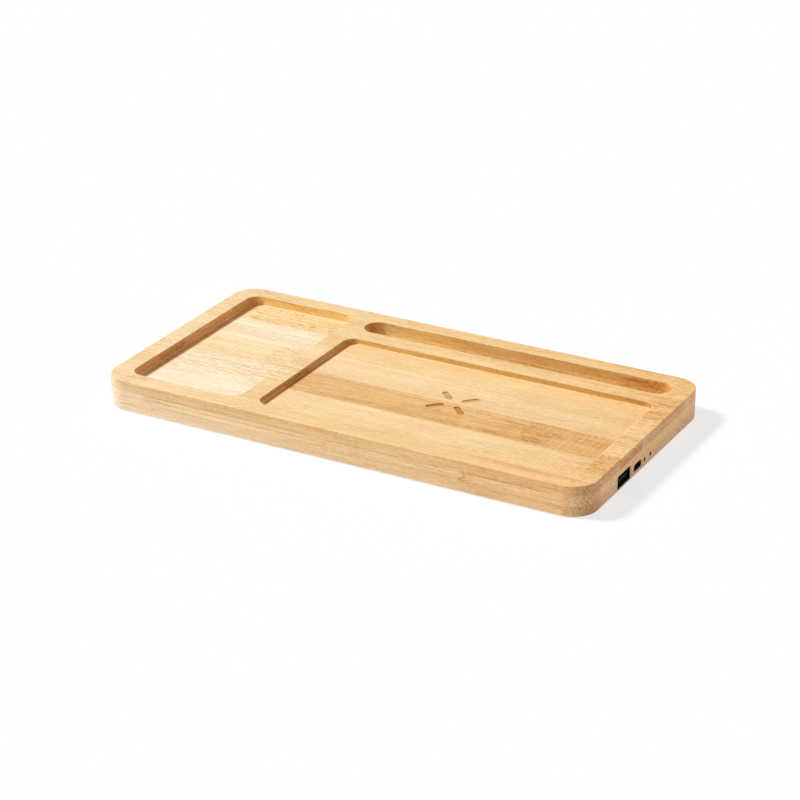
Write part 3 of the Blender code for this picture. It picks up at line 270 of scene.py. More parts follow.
bamboo = {
    "deep": (0.70, 0.50, 0.26),  # what the darkest streaks multiply a strip's tone by
    "bright": (1.05, 1.08, 1.13),
    "glueLines": (-52.0, -29.6, -7.4, 14.8, 37.0, 59.3),  # y between the strips
    "rimTones": (  # front to back
        rgb(243, 208, 154), rgb(242, 206, 150), rgb(244, 211, 158), rgb(244, 212, 160),
        rgb(243, 208, 153), rgb(240, 205, 149), rgb(237, 199, 143),
    ),
    "floorTones": (
        rgb(245, 213, 162), rgb(244, 212, 160), rgb(230, 187, 127), rgb(244, 213, 163),
        rgb(244, 209, 153), rgb(240, 203, 146), rgb(240, 203, 146),
    ),
    "leftFloorTones": (
        rgb(251, 238, 208), rgb(251, 236, 205), rgb(251, 231, 196), rgb(250, 225, 180),
        rgb(251, 233, 199), rgb(250, 221, 168), rgb(250, 221, 168),
    ),
    "plies": (5.4, 10.4),  # z between the three plies
    "plyBlur": 0.05,
    "middleTone": rgb(250, 216, 165),
    "lowerTone": rgb(246, 213, 167),
    "upperSideTone": (0.98, 0.90, 0.80),  # the upper ply's edge is deeper than its face
    "leftShift": (1.045, 1.10, 1.28),  # tones grow paler towards the left end
    "rightShift": (0.98, 0.90, 0.84),
    "rightRimShift": (0.94, 0.87, 0.78),
    "rightFloorShift": (0.98, 1.01, 1.01),
    "lowerRightShift": (0.93, 0.91, 0.86),
    "lowerLeftShift": (1.04, 1.08, 1.09),
    "endTone": (0.88, 0.88, 0.95),  # what end grain multiplies a tone by
    "upperEndTone": (0.89, 0.90, 1.02),
    "frontCornerTone": (0.80, 0.73, 0.68),
    # painted light: end grain at the left end and round the front left corner, which face the key, is
    # painted paler
    "litLeftEndTone": (0.97, 1.04, 1.16),
    "litLeftCornerTone": (0.95, 1.05, 1.26),
    "backCornerTone": (1.16, 1.26, 1.45),
    "rimBreadth": (4.0, 5.0),  # walls that lie further in from the slab's sides are the pockets'
    "wallTone": (1.13, 1.15, 0.94),  # routed walls along the grain
    "slotWallTone": (0.96, 1.02, 0.91),
    "slotWallLeftTone": (1.08, 1.19, 1.06),
    "slotEndTone": (1.02, 1.04, 0.95),
    "slotMiddleTone": (0.94, 0.91, 0.88),  # where the slot's wall shows the middle ply
    "phoneWallTone": (0.90, 0.87, 0.66),
    "phoneWallLeftTone": (1.08, 1.12, 1.12),
    "phoneWallRightTone": (0.87, 0.90, 0.78),
    # routed walls across the grain, at the left of each pocket, by strip: end grain's deeper tone plus
    # painted shade, as these walls face away from the key light
    "shadedLeftWallTones": (
        (0.65, 0.47, 0.30), (0.65, 0.47, 0.30), (0.61, 0.50, 0.37), (0.70, 0.55, 0.40),
        (0.71, 0.56, 0.41), (0.71, 0.54, 0.39), (0.71, 0.54, 0.39),
    ),
    "phoneLeftWallTone": (0.93, 0.91, 0.88),
    "rightWallTone": (0.90, 0.90, 0.80),
    "paintedShadowTone": (0.90, 0.62, 0.42),  # painted shadow: the key light's shadow strip at the foot of each pocket's left wall
    "markTone": (0.745, 0.59, 0.365),
    "lowerMarkTone": (0.70, 0.51, 0.25),  # the two strokes in the caramel strip
    "markEdgeTone": (0.93, 0.85, 0.76),
    "markMargin": 11.0,  # from the mark's middle to where walls are the pockets' again
    "pinholeShadeTone": (0.10, 0.06, 0.04),  # painted shade inside the pinholes' bores and round their mouths
    "pinholeShadeBreadth": (0.15, 0.30),
    "paintedRimHighlight": (1.10, 1.16, 1.26),  # painted highlight on the edge at the right of the phone pocket
    "knuckleTone": (0.79, 0.61, 0.38),
    # knuckles: from x, to x, from y, to y, from z, to z, then the strength
    # of the curls, of the dark edge and of the fibres
    "knuckles": (
        (73.0, 86.5, -29.6, -7.4, 5.4, 14.5, 0.75, 0.35, 0.5),
        (97.0, 105.0, 56.5, 65.0, 10.4, 15.3, 0.4, 0.3, 0.3),
        (-112.0, -103.0, -65.0, -56.0, 14.3, 15.6, 0.5, 0.3, 0.4),
        (-72.0, -60.0, -7.4, 14.8, 10.4, 14.5, 0.4, 0.1, 0.3),
        (98.0, 110.0, 41.0, 59.0, 5.4, 14.5, 0.9, 0.3, 0.9),
        (113.0, 127.0, 14.8, 41.0, 13.0, 15.3, 0.7, 0.0, 1.0),
        (113.0, 127.0, -49.0, -28.5, 13.0, 15.3, 0.9, 0.0, 1.1),
        (66.0, 70.0, -66.0, -58.0, 5.0, 10.6, 0.8, 1.2, 0.2),
        (-102.0, -97.0, -66.0, -58.0, 6.4, 10.4, 0.4, 0.7, 0.3),
        (68.0, 84.0, -66.0, -58.0, 1.0, 5.2, 0.5, 0.0, 0.0),
        (-30.0, -22.0, 59.3, 66.0, 5.4, 15.3, 0.5, 0.5, 0.3),
        (18.0, 26.0, 59.3, 66.0, 0.5, 10.4, 0.5, 0.5, 0.3),
    ),
    "knuckleBend": 14.0,  # how far along X a knuckle's edges stray
    "knuckleLead": 14.0,  # how far ahead of it the dark fibres start
    # stray dark fibres: from x, to x, y, half breadth in y, z, half breadth in z, strength
    "strays": (
        (68.0, 108.0, -65.0, 6.0, 10.1, 0.35, 1.0),
        (-98.0, -74.0, -65.0, 6.0, 10.3, 0.35, 0.8),
        (-96.0, -80.0, -65.0, 6.0, 8.5, 0.30, 0.5),
        (-72.0, -12.0, -65.0, 6.0, 10.2, 0.45, 0.5),
        (-70.0, 12.0, -65.0, 6.0, 8.2, 0.25, 0.45),
        (0.0, 58.0, -65.0, 6.0, 9.9, 0.40, 0.5),
        (6.0, 42.0, -65.0, 6.0, 8.9, 0.20, 0.4),
        (68.0, 122.0, -57.2, 0.5, 15.0, 1.2, 0.8),
        (84.0, 122.0, -59.0, 3.0, 15.0, 1.2, 0.4),
        (-30.0, 72.0, -26.5, 2.6, 12.3, 1.5, 0.30),
        (-46.0, 60.0, -10.5, 2.2, 12.3, 1.5, 0.18),
        (60.0, 78.0, -12.6, 1.5, 12.3, 1.5, 0.65),
        (60.0, 74.0, -21.0, 1.8, 12.3, 1.5, 0.30),
        (86.0, 114.0, -18.0, 1.2, 12.3, 1.5, 0.30),
        (14.0, 62.0, 55.9, 4.0, 9.6, 0.8, 0.35),
    ),
    "strayDrift": (20.0, 1.6, 0.8),  # how far they wander along X, Y and Z
    # how fast each noise changes along X, Y and Z: those of the grain are drawn out along X
    "broad": (0.008, 0.10, 0.10),
    "streaks": (0.014, 0.70, 0.70),
    "fine": (0.06, 2.6, 2.6),
    "speck": (0.35, 2.2, 2.2),
    "pores": (0.10, 4.2, 4.2),
    "lines": (0.010, 1.1, 1.1),
    "flecks": (0.09, 0.8, 0.8),
    "cloud": (0.035, 0.06, 0.2),
    "mottle": (0.24, 0.65, 0.65),
    "sway": (0.05, 0.2, 0.25),
    "drift": (0.03, 0.05, 0.05),
    "patch": (0.03, 0.03, 0.03),
    "blot": (0.12, 0.08, 0.1),
    "stipple": (0.9, 0.5, 0.5),
    "cutPitch": (2.94, 3.5),  # of the cutter's passes over the pocket floors, along X and Y
    "ribPitch": 1.3,  # of the ribs on the walls
}


class Bamboo(Finish):
    # the tray's wood: what it shows follows from the place on the tray, in millimetres
    def __init__(self):
        super().__init__("bamboo", Specular_IOR_Level=0.2)
        self.place = self.millimetres()
        self.at = x, y, z = self.parts(self.place)
        self.normalX, normalY, normalZ = self.parts(self.where("Normal"))
        self.upward = normalZ.rise(0.5, 0.8)
        self.upright = abs(normalZ).rise(0.7, 0.4)
        self.endwise = abs(self.normalX).rise(0.3, 0.85) * self.upright
        near, far = bamboo["rimBreadth"]
        self.inside = abs(x).rise(slabRight - near, slabRight - far)
        self.inside = self.inside * abs(y).rise(slabBack - near, slabBack - far)
        self.routedWall = self.inside * self.upright

        lowerPly, upperPly = bamboo["plies"]
        blur = bamboo["plyBlur"]
        self.inUpper = z.rise(upperPly - blur, upperPly + blur)
        self.inLower = z.rise(lowerPly + blur, lowerPly - blur)
        self.inMiddle = (1 - self.inUpper) * (1 - self.inLower)
        self.inDark = y.band(*bamboo["glueLines"][1:3], 0.2)
        inPhone = x.band(-46.5, 115.0, 0.2) * y.band(-55.2, 32.0, 0.2)
        self.phoneFloor = inPhone * z.rise(12.8, 12.6) * self.upward
        inLeft = x.rise(-55.8, -56.3) * x.rise(-116.0, -115.6)
        self.leftFloor = inLeft * z.rise(12.0, 11.6) * self.inUpper * self.upward

        # each strip and ply is cut from another stretch of the noise
        first, last = bamboo["glueLines"][0], bamboo["glueLines"][-1]
        pitch = (last - first) / (len(bamboo["glueLines"]) - 1)
        seed = ((y - first) / pitch).floor() * 7.3 + self.inUpper * 63.4 + self.inLower * 31.7
        self.grain = self.joined(x + seed * 41, y, z + seed)
        self.fine = self.fibres("fine", 2.0, 0.6)
        self.flecks = self.fibres("flecks", 2.0)
        self.pores = self.fibres("pores", 1.0).rise(0.60, 0.72)

    def fibres(self, name, detail, roughness=0.5):
        return self.noise(self.grain * bamboo[name], 1.0, detail, roughness)

    def cloudy(self, name, detail, roughness=0.5, distortion=0.0):
        return self.noise(self.place * bamboo[name], 1.0, detail, roughness, distortion)

    def strips(self, tones):
        # one tone for each strip, front to back
        breadth = slabBack - slabFront
        edges = (slabFront, *bamboo["glueLines"])
        stops = [((edge - slabFront) / breadth, tone) for edge, tone in zip(edges, tones)]
        return self.steps((self.at[1] - slabFront) / breadth, stops)

    def stripTone(self):
        x, y, z = self.at
        onRim = z.rise(13.2, 14.6)
        tone = self.blend(onRim, self.strips(bamboo["floorTones"]), self.strips(bamboo["rimTones"]))
        tone = self.blend(self.leftFloor, tone, self.strips(bamboo["leftFloorTones"]))
        tone = tone * self.tint(self.upright, bamboo["upperSideTone"])
        tone = self.blend(self.inMiddle, tone, bamboo["middleTone"])
        tone = self.blend(self.inLower, tone, bamboo["lowerTone"])
        nearRight = x.rise(20.0, 90.0)
        rightRim = x.rise(114.5, 116.5) * self.upward
        lowerRight = self.inLower * nearRight * y.rise(-40.0, -60.0)
        lowerLeft = self.inLower * x.rise(-60.0, -110.0)
        shift = self.tint(x.rise(0.0, slabLeft) * (1 - self.leftFloor), bamboo["leftShift"])
        shift = self.blend(x.rise(10.0, slabRight), shift, bamboo["rightShift"])
        shift = self.blend(rightRim, shift, bamboo["rightRimShift"])
        shift = shift * self.tint(self.phoneFloor * nearRight, bamboo["rightFloorShift"])
        shift = shift * self.tint(lowerRight, bamboo["lowerRightShift"])
        shift = shift * self.tint(lowerLeft, bamboo["lowerLeftShift"])
        return tone * shift

    def growth(self):
        # the fibres' depth of tone: 0 is bright, 1 is deep
        x, y, z = self.at
        broad = self.fibres("broad", 2.0)
        streaks = self.fibres("streaks", 3.0, 0.6)
        speck = self.fibres("speck", 1.0)
        lines = self.fibres("lines", 1.0).rise(0.66, 0.78)
        cloud = self.cloudy("cloud", 2.0)
        lively = 0.8 + self.inDark * 0.6 - self.phoneFloor * 0.3 - self.leftFloor * 0.15 + self.endwise
        flecked = 0.2 + self.inDark * 0.7 + self.upright * 0.1 - self.phoneFloor * 0.1
        behind, nearRight, atRight = y.rise(30.0, 34.0), x.rise(20.0, 110.0), x.rise(112.0, 116.0)
        crisp = 0.9 + self.inDark * 0.75 + behind * 0.35 + nearRight * 0.25
        crisp = crisp + atRight * 0.95 + self.endwise * 0.3 - self.leftFloor * 0.2
        depth = 0.24 + (broad - 0.5) * 0.55 + (streaks - 0.5) * lively + (self.flecks - 0.5) * flecked
        depth = depth + self.pores * 0.16 + lines * (0.24 + self.upright * 0.12) + (cloud - 0.5) * 0.4
        speckled = (self.fine - 0.5) * (1.0 + self.upright * 0.4)
        speckled = speckled + (speck - 0.5) * (1.0 + self.upright * 0.1)
        return depth + speckled * crisp

    def knuckled(self):
        # mottled bands across a strip, with broken dark edges and dark fibres leading in
        x, y, z = self.at
        mottle = self.cloudy("mottle", 3.0, 0.65, 2.0)
        sway = self.cloudy("sway", 2.0) - 0.5
        bentX, wavyY, wavyZ = x + sway * bamboo["knuckleBend"], y + sway * 0.2, z + sway * 0.1
        curls, broken, dark = mottle.rise(0.42, 0.62), mottle.rise(0.36, 0.56), self.flecks.rise(0.50, 0.66)
        found = 0
        for fromX, toX, fromY, toY, fromZ, toZ, curled, edged, fibrous in bamboo["knuckles"]:
            inStrip = wavyY.band(fromY, toY, 0.3) * wavyZ.band(fromZ, toZ, 0.2)
            here = bentX.band(fromX, toX, 6.0) * curls * curled
            here = here + bentX.band(fromX - 0.6, fromX + 0.6, 1.0) * broken * edged
            here = here + bentX.band(fromX - bamboo["knuckleLead"], toX, 10.0) * dark * fibrous
            found = here * inStrip + found
        return found

    def strays(self):
        drift = self.cloudy("drift", 1.0) - 0.5
        x, y, z = [one + drift * reach for one, reach in zip(self.at, bamboo["strayDrift"])]
        depth = 0
        for fromX, toX, atY, halfY, atZ, halfZ, strength in bamboo["strays"]:
            nearY = (1 - abs(y - atY) / halfY).most(0)
            nearZ = (1 - abs(z - atZ) / halfZ).most(0)
            depth = x.band(fromX, toX, 12.0) * nearY * nearZ * strength + depth
        return depth

    def cutterMarks(self):
        # a faint grid on the pocket floors, hatching in one strip and upright ribs on the walls,
        # as what they add to the depth of tone and to the height
        x, y, z = self.at
        patch = self.cloudy("patch", 1.0)
        blot = self.cloudy("blot", 2.0).rise(0.42, 0.66)
        stipple = self.cloudy("stipple", 1.0).rise(0.46, 0.64)
        pitchX, pitchY = bamboo["cutPitch"]
        passesX = (x * (2 * math.pi / pitchX)).sine()
        passesY = (y * (2 * math.pi / pitchY)).sine()
        strength = 0.25 + self.inDark * (0.2 + patch.rise(0.35, 0.65) * 0.6)
        onPhone = self.phoneFloor * x.rise(76.0, 96.0) * strength
        onLeft = self.leftFloor * (0.18 + patch.rise(0.4, 0.65) * 0.3)
        grid = (passesX * 0.8 + passesY * 0.2) * (onPhone + onLeft)
        hatched = self.leftFloor * y.rise(36.9, 37.1)
        hatching = hatched * stipple * (passesY * 0.35 + 0.5) * (0.3 + blot * 0.55)
        ribs = ((x + y) * (2 * math.pi / bamboo["ribPitch"])).sine() * self.routedWall
        onPhoneWall = y.band(31.0, 32.4, 0.2) * x.rise(-34.0, -14.0) * 0.36
        onSlotWall = y.rise(54.8, 55.2) * x.rise(0.0, 30.0) * 0.08
        ribbed = (onPhoneWall + onSlotWall) * (0.5 + blot * 0.6) + 0.04
        return grid * 0.14 + hatching + ribs * ribbed, grid * 0.3 + ribs * 0.5

    def bundles(self):
        # end grain shows its bundles of fibres as dots, again in the tone and in the height
        x, y, z = self.at
        across = self.joined(y, z, 0.0)
        flat = {"voronoi_dimensions": "2D"}
        cells = self.node("ShaderNodeTexVoronoi", flat, {"Vector": across, "Scale": 1.0})
        dots = (cells.rise(0.38, 0.16) - 0.2) * self.endwise
        nearFront = y.rise(-46.0, -56.0) * z.band(3.0, 14.4, 1.0)
        return dots * (0.40 + self.inUpper * 0.45 + nearFront * 0.7), dots * -0.5

    def endTint(self):
        y = self.at[1]
        tone = self.tint(self.inUpper, bamboo["upperEndTone"]) * bamboo["endTone"]
        tone = tone * self.tint(y.rise(-46.0, -56.0), bamboo["frontCornerTone"])
        tone = tone * self.tint(y.rise(34.0, 46.0) * self.inUpper, bamboo["backCornerTone"])
        # painted light: the left-facing end grain, which faces the key, is painted paler
        tone = self.blend(self.normalX.rise(0.2, -0.2), tone, bamboo["litLeftEndTone"])
        outside = 1 - self.inside
        # painted highlight on the front left corner, which faces the key
        litLeftCorner = self.normalX.rise(0.0, -0.6) * y.rise(-52.0, -57.0) * self.upright * outside
        return self.tint(self.endwise * outside, tone) * self.tint(litLeftCorner, bamboo["litLeftCornerTone"])

    def wallTint(self):
        x, y, z = self.at
        slotTone = self.blend(x.rise(-8.0, 8.0), bamboo["slotWallLeftTone"], bamboo["slotWallTone"])
        slotTone = slotTone * self.tint(x.rise(74.0, 96.0), bamboo["slotEndTone"])
        slotTone = slotTone * self.tint(self.inMiddle, bamboo["slotMiddleTone"])
        phoneTone = self.tint(x.rise(6.0, -20.0), bamboo["phoneWallLeftTone"]) * bamboo["phoneWallTone"]
        phoneTone = phoneTone * self.tint(x.rise(98.0, 110.0), bamboo["phoneWallRightTone"])
        inSlot = x.rise(-50.0, -48.0) * y.rise(41.0, 41.4)
        inPhone = x.band(-46.5, 115.0, 0.2) * y.band(-55.2, 33.0, 0.2)
        alongTone = self.blend(inPhone, self.blend(inSlot, bamboo["wallTone"], slotTone), phoneTone)
        # the left walls' tones hold painted shade as well as end grain's deeper tone
        shadedLeftTone = self.strips(bamboo["shadedLeftWallTones"]) * self.tint(inPhone, bamboo["phoneLeftWallTone"])
        acrossTone = self.blend(self.normalX.rise(-0.2, 0.2), bamboo["rightWallTone"], shadedLeftTone)
        margin = bamboo["markMargin"]
        nearMark = x.band(markX - margin, markX + margin, 0.5) * y.band(markY - margin, markY + margin, 0.5)
        return self.tint(self.routedWall * (1 - nearMark), self.blend(self.endwise, alongTone, acrossTone))

    def paintedLightTint(self):
        # a painted highlight along the phone pocket's right rim, and painted shadow where the key light's
        # shadow falls at the foot of each pocket's left wall
        x, y, z = self.at
        # painted highlight: the rim edge that catches the light
        paintedHighlight = x.band(114.6, 115.3, 0.3) * y.band(-50.0, 27.0, 4.0) * z.rise(14.7, 14.9)
        # painted shadow: the strips beside the left walls that the key light leaves in shade
        leftShadowStrip = z.rise(12.0, 11.6) * x.rise(-110.6, -112.4)
        phoneShadowStrip = z.rise(13.2, 12.9) * y.rise(36.0, 35.0) * x.band(-48.0, -43.8, 1.2)
        paintedShadow = (leftShadowStrip + phoneShadowStrip) * self.inside * (1 - self.upright)
        return self.tint(paintedHighlight, bamboo["paintedRimHighlight"]) * self.tint(paintedShadow, bamboo["paintedShadowTone"])

    def markTint(self):
        # the mark's strokes are scorched, darkest round their edges
        x, y, z = self.at
        mark = tray["mark"]
        acrossX, acrossY = x - markX, y - markY
        one, other = abs(acrossX + acrossY) * math.sqrt(0.5), abs(acrossX - acrossY) * math.sqrt(0.5)
        half = mark["width"] / 2
        straight = (mark["end"] - mark["start"]) / 2 - half
        middle = (mark["start"] + mark["end"]) / 2
        beyond = (abs(one.most(other) - middle) - straight).most(0)
        aside = one.least(other)
        fromMiddle = (beyond * beyond + aside * aside).power(0.5) * z.rise(11.0, 11.5)
        inMark = fromMiddle.rise(half + 0.1, half - 0.1) * z.band(11.5, 12.8, 0.2)
        tone = self.blend(y.rise(-7.3, -7.5), bamboo["markTone"], bamboo["lowerMarkTone"])
        tone = tone * self.tint(fromMiddle.rise(half - 0.7, half - 0.1), bamboo["markEdgeTone"])
        return self.tint(inMark, tone)

    def pinholeShadeTint(self):
        x, y, z = self.at
        near, far = [tray["pinhole"] + breadth for breadth in bamboo["pinholeShadeBreadth"]]
        # painted shade: the pinholes' bores and a thin ring round their mouths are darkened
        pinholeShade = 0
        for name in ("status_light_1", "status_light_2"):
            left, right, front, back, bottom, top = span(name)
            holeY, holeZ = y - (front + back) / 2, z - (bottom + top) / 2
            pinholeShade = (holeY * holeY + holeZ * holeZ).power(0.5).rise(far, near) + pinholeShade
        return self.tint(pinholeShade * x.rise(121.0, 121.5), bamboo["pinholeShadeTone"])

    def finished(self):
        cutDepth, cutHeight = self.cutterMarks()
        dotDepth, dotHeight = self.bundles()
        depth = self.growth() + self.strays() + cutDepth + dotDepth
        colour = self.stripTone() * self.blend(depth, bamboo["bright"], bamboo["deep"])
        colour = colour * self.tint(self.knuckled(), bamboo["knuckleTone"])
        colour = colour * self.endTint() * self.wallTint() * self.paintedLightTint()
        colour = colour * self.markTint() * self.pinholeShadeTint()
        height = (self.fine - 0.5) * 0.5 - self.pores * 0.5 + dotHeight + cutHeight
        rough = 0.52 + self.fine * 0.1 + self.pores * 0.1 + self.endwise * 0.12 + self.routedWall * 0.08
        return self.coat(colour, rough, height, 0.35, 0.00006)


# Mesh making

def roundedOutline(x0, x1, y0, y1, radius, steps):
    points = []
    corners = ((x1, y0, -90, -1, 1), (x1, y1, 0, -1, -1), (x0, y1, 90, 1, -1), (x0, y0, 180, 1, 1))
    for cornerX, cornerY, start, inX, inY in corners:
        for step in range(steps + 1):
            turn = math.radians(start + 90 * step / steps)
            centreX, centreY = cornerX + inX * radius, cornerY + inY * radius
            points.append((centreX + radius * math.cos(turn), centreY + radius * math.sin(turn)))
    return points


def ringOutline(centreX, centreY, radius, steps):
    turns = [2 * math.pi * step / steps for step in range(steps)]
    return [(centreX + radius * math.cos(turn), centreY + radius * math.sin(turn)) for turn in turns]


def level(outline, z):
    return [(x, y, z) for x, y in outline]


def upended(outline, x):
    # an outline in y and z, stood across X
    return [(x, y, z) for y, z in outline]


def newPiece(name, shape):
    bmesh.ops.recalc_face_normals(shape, faces=shape.faces)
    mesh = bpy.data.meshes.new(name)
    shape.to_mesh(mesh)
    shape.free()
    piece = bpy.data.objects.new(name, mesh)
    scene.collection.objects.link(piece)
    return piece


def loft(name, rings):
    # a closed solid through rings of as many points each, with both ends capped
    shape = bmesh.new()
    rows = [[shape.verts.new(Vector(point) * mm) for point in ring] for ring in rings]
    for lower, upper in zip(rows, rows[1:]):
        for index in range(len(lower)):
            after = (index + 1) % len(lower)
            shape.faces.new((lower[index], lower[after], upper[after], upper[index]))
    shape.faces.new(list(reversed(rows[0])))
    shape.faces.new(rows[-1])
    return newPiece(name, shape)


def applyAll(piece):
    # leaves the piece with the mesh that its modifiers make
    bpy.context.view_layer.update()
    graph = bpy.context.evaluated_depsgraph_get()
    made = bpy.data.meshes.new_from_object(piece.evaluated_get(graph))
    piece.modifiers.clear()
    piece.data = made


def combine(piece, others, operation="DIFFERENCE"):
    # cuts the others out of the piece, or fuses them to it, and does away with them
    for other in others:
        step = piece.modifiers.new("combine", "BOOLEAN")
        step.operation = operation
        step.solver = "EXACT"
        step.object = other
    applyAll(piece)
    for other in others:
        bpy.data.objects.remove(other)


def smoothed(piece, degrees):
    piece.data.shade_smooth()
    piece.data.set_sharp_from_angle(angle=math.radians(degrees))
    even = piece.modifiers.new("even normals", "WEIGHTED_NORMAL")
    even.keep_sharp = True
    even.weight = 80


def dress(piece, material, slot, *stoodFor, degrees=35):
    # finishes the piece, which rides the tray's one body and stands for these nodes
    smoothed(piece, degrees)
    piece.data.materials.clear()
    piece.data.materials.append(material)
    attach(piece, "root")
    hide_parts(*stoodFor)


# Tray

tray = {
    "corner": 12.3,
    "edge": 0.5,
    "cornerSteps": 28,
    "edgeSteps": 4,
    "floorRound": 0.6,
    "floorSteps": 4,
    "rimRound": 0.3,
    "rimSteps": 3,
    "pocketSteps": 16,
    "overrun": 1.0,  # how far cutters reach out of the wood
    "leftPocket": {"x": (-115.5, -56.2), "y": (-55.0, 55.9), "depth": 4.46, "corner": 6.4},
    "phonePocket": {"x": (-46.35, 114.8), "y": (-55.0, 31.8), "depth": 2.82, "corner": 5.8},
    "penSlot": {"x": (-46.35, 114.8), "y": (42.1, 55.9), "depth": 8.5, "corner": 6.85},
    "mark": {
        "start": 4.2, "end": 13.3, "width": 3.2, "depth": 0.4, "strokes": 4, "round": 0.2,
        "blunt": 0.98,  # the ends' radius, as a share of half the width
    },
    "ceiling": 9.83,  # z of the tops of the bays
    "ledge": 6.875,  # z of the two ledges that carry the board
    "ledgeWidth": 8.0,
    "bayCorner": 3.0,
    "bayGap": 3.0,  # round the coil's screen
    "wellCorner": 1.0,
    "rebateCorner": 5.3,
    "rebateDepth": 1.5,
    "gap": 0.3,
    "pilotRadius": 1.3,
    "pilotLead": 0.5,  # how far below the wood a pilot hole's cutter starts
    "portGap": 0.4,
    "portEase": 0.15,  # how far a port's mouth is opened out
    "pinhole": 0.8,
    "usbPort": {"width": 13.1, "corner": 0.4},
    "microPort": {"headroom": 0.5, "slope": 0.9, "drop": 0.8},
}
slabLeft, slabRight, slabFront, slabBack, slabBottom, slabTop = span("tray")
coverSpan = span("bottom_cover")
boardSpan = span("circuit_board")
ferriteSpan = span("ferrite_sheet")
usbSpan = span("usb_a_shell")
microSpan = span("micro_usb_shell")
markX = (ferriteSpan[0] + ferriteSpan[1]) / 2
markY = (ferriteSpan[2] + ferriteSpan[3]) / 2


def edgeRings(inner, outer, steps):
    # inset and height of a quarter round, from its inner lower point to its outer upper one
    for step in range(steps + 1):
        turn = math.radians(90 * step / steps)
        yield inner * (1 - math.sin(turn)), outer * (1 - math.cos(turn))


def slabPiece():
    edge, steps = tray["edge"], tray["edgeSteps"]
    profile = [(inset, slabBottom + rise) for inset, rise in edgeRings(edge, edge, steps)]
    profile += [(inset, slabTop - drop) for inset, drop in reversed(list(edgeRings(edge, edge, steps)))]
    rings = []
    for inset, z in profile:
        sides = (slabLeft + inset, slabRight - inset, slabFront + inset, slabBack - inset)
        rings.append(level(roundedOutline(*sides, tray["corner"] - inset, tray["cornerSteps"]), z))
    return loft("bamboo_tray", rings)


def pocketCutter(name):
    pocket = tray[name]
    floor, curve = slabTop - pocket["depth"], tray["floorRound"]
    rim, rimSteps = tray["rimRound"], tray["rimSteps"]
    profile = [(inset, floor + rise) for inset, rise in edgeRings(curve, curve, tray["floorSteps"])]
    for step in range(rimSteps + 1):
        turn = math.radians(90 * step / rimSteps)
        profile.append((-rim * (1 - math.cos(turn)), slabTop - rim * (1 - math.sin(turn))))
    profile.append((-rim - tray["overrun"], slabTop + tray["overrun"]))
    (left, right), (front, back) = pocket["x"], pocket["y"]
    rings = []
    for inset, z in profile:
        sides = (left + inset, right - inset, front + inset, back - inset)
        rings.append(level(roundedOutline(*sides, pocket["corner"] - inset, tray["pocketSteps"]), z))
    return loft(name, rings)


def strokeCutter(number):
    mark = tray["mark"]
    half, curve = mark["width"] / 2, mark["round"]
    floor = slabTop - tray["phonePocket"]["depth"]
    profile = [(inset, floor - mark["depth"] + rise) for inset, rise in edgeRings(curve, curve, 3)]
    rings = []
    for inset, z in (*profile, (0, floor + tray["overrun"])):
        sides = (mark["start"] + inset, mark["end"] - inset, inset - half, half - inset)
        rings.append(level(roundedOutline(*sides, half * mark["blunt"] - inset, 8), z))
    turn = Matrix.Rotation(math.radians(45 + 360 * number / mark["strokes"]), 3, "Z")
    middle = Vector((markX, markY, 0))
    return loft(f"stroke_{number}", [[turn @ Vector(point) + middle for point in ring] for ring in rings])


def bayCutter(name, sides, corner, top):
    outline = roundedOutline(*sides, corner, 6)
    return loft(name, [level(outline, slabBottom - tray["overrun"]), level(outline, top)])


def drillCutter(name, middle, radius, bottom, top, steps=24):
    outline = ringOutline(*middle, radius, steps)
    return loft(name, [level(outline, bottom), level(outline, top)])


def portCutter(name, outlineAt):
    # a hole through the end wall, eased a little at its mouth
    inner = boardSpan[1] + tray["gap"] - tray["overrun"]
    ease = tray["portEase"]
    rings = [upended(outlineAt(0), inner), upended(outlineAt(0), slabRight - ease)]
    rings += [upended(outlineAt(ease), slabRight), upended(outlineAt(ease), slabRight + tray["overrun"])]
    return loft(name, rings)


def usbPortOutline(grow):
    grow = grow + tray["portGap"]
    left, right, low, high = usbMouth
    return roundedOutline(
        left - grow, right + grow, low - grow, high + grow, tray["usbPort"]["corner"] + grow, 4
    )


def microPortOutline(grow):
    grow = grow + tray["portGap"]
    left, right, low, high = microMouth
    left, right, low, high = left - grow, right + grow, low - grow, high + grow
    slope, drop = tray["microPort"]["slope"], tray["microPort"]["drop"]
    return [
        (right, low), (right, high - drop), (right - slope, high),
        (left + slope, high), (left, high - drop), (left, low),
    ]


usbMiddle, usbHalf = (usbSpan[2] + usbSpan[3]) / 2, tray["usbPort"]["width"] / 2
usbMouth = (usbMiddle - usbHalf, usbMiddle + usbHalf, usbSpan[4], usbSpan[5])
microMouth = (*microSpan[2:5], microSpan[5] + tray["microPort"]["headroom"])


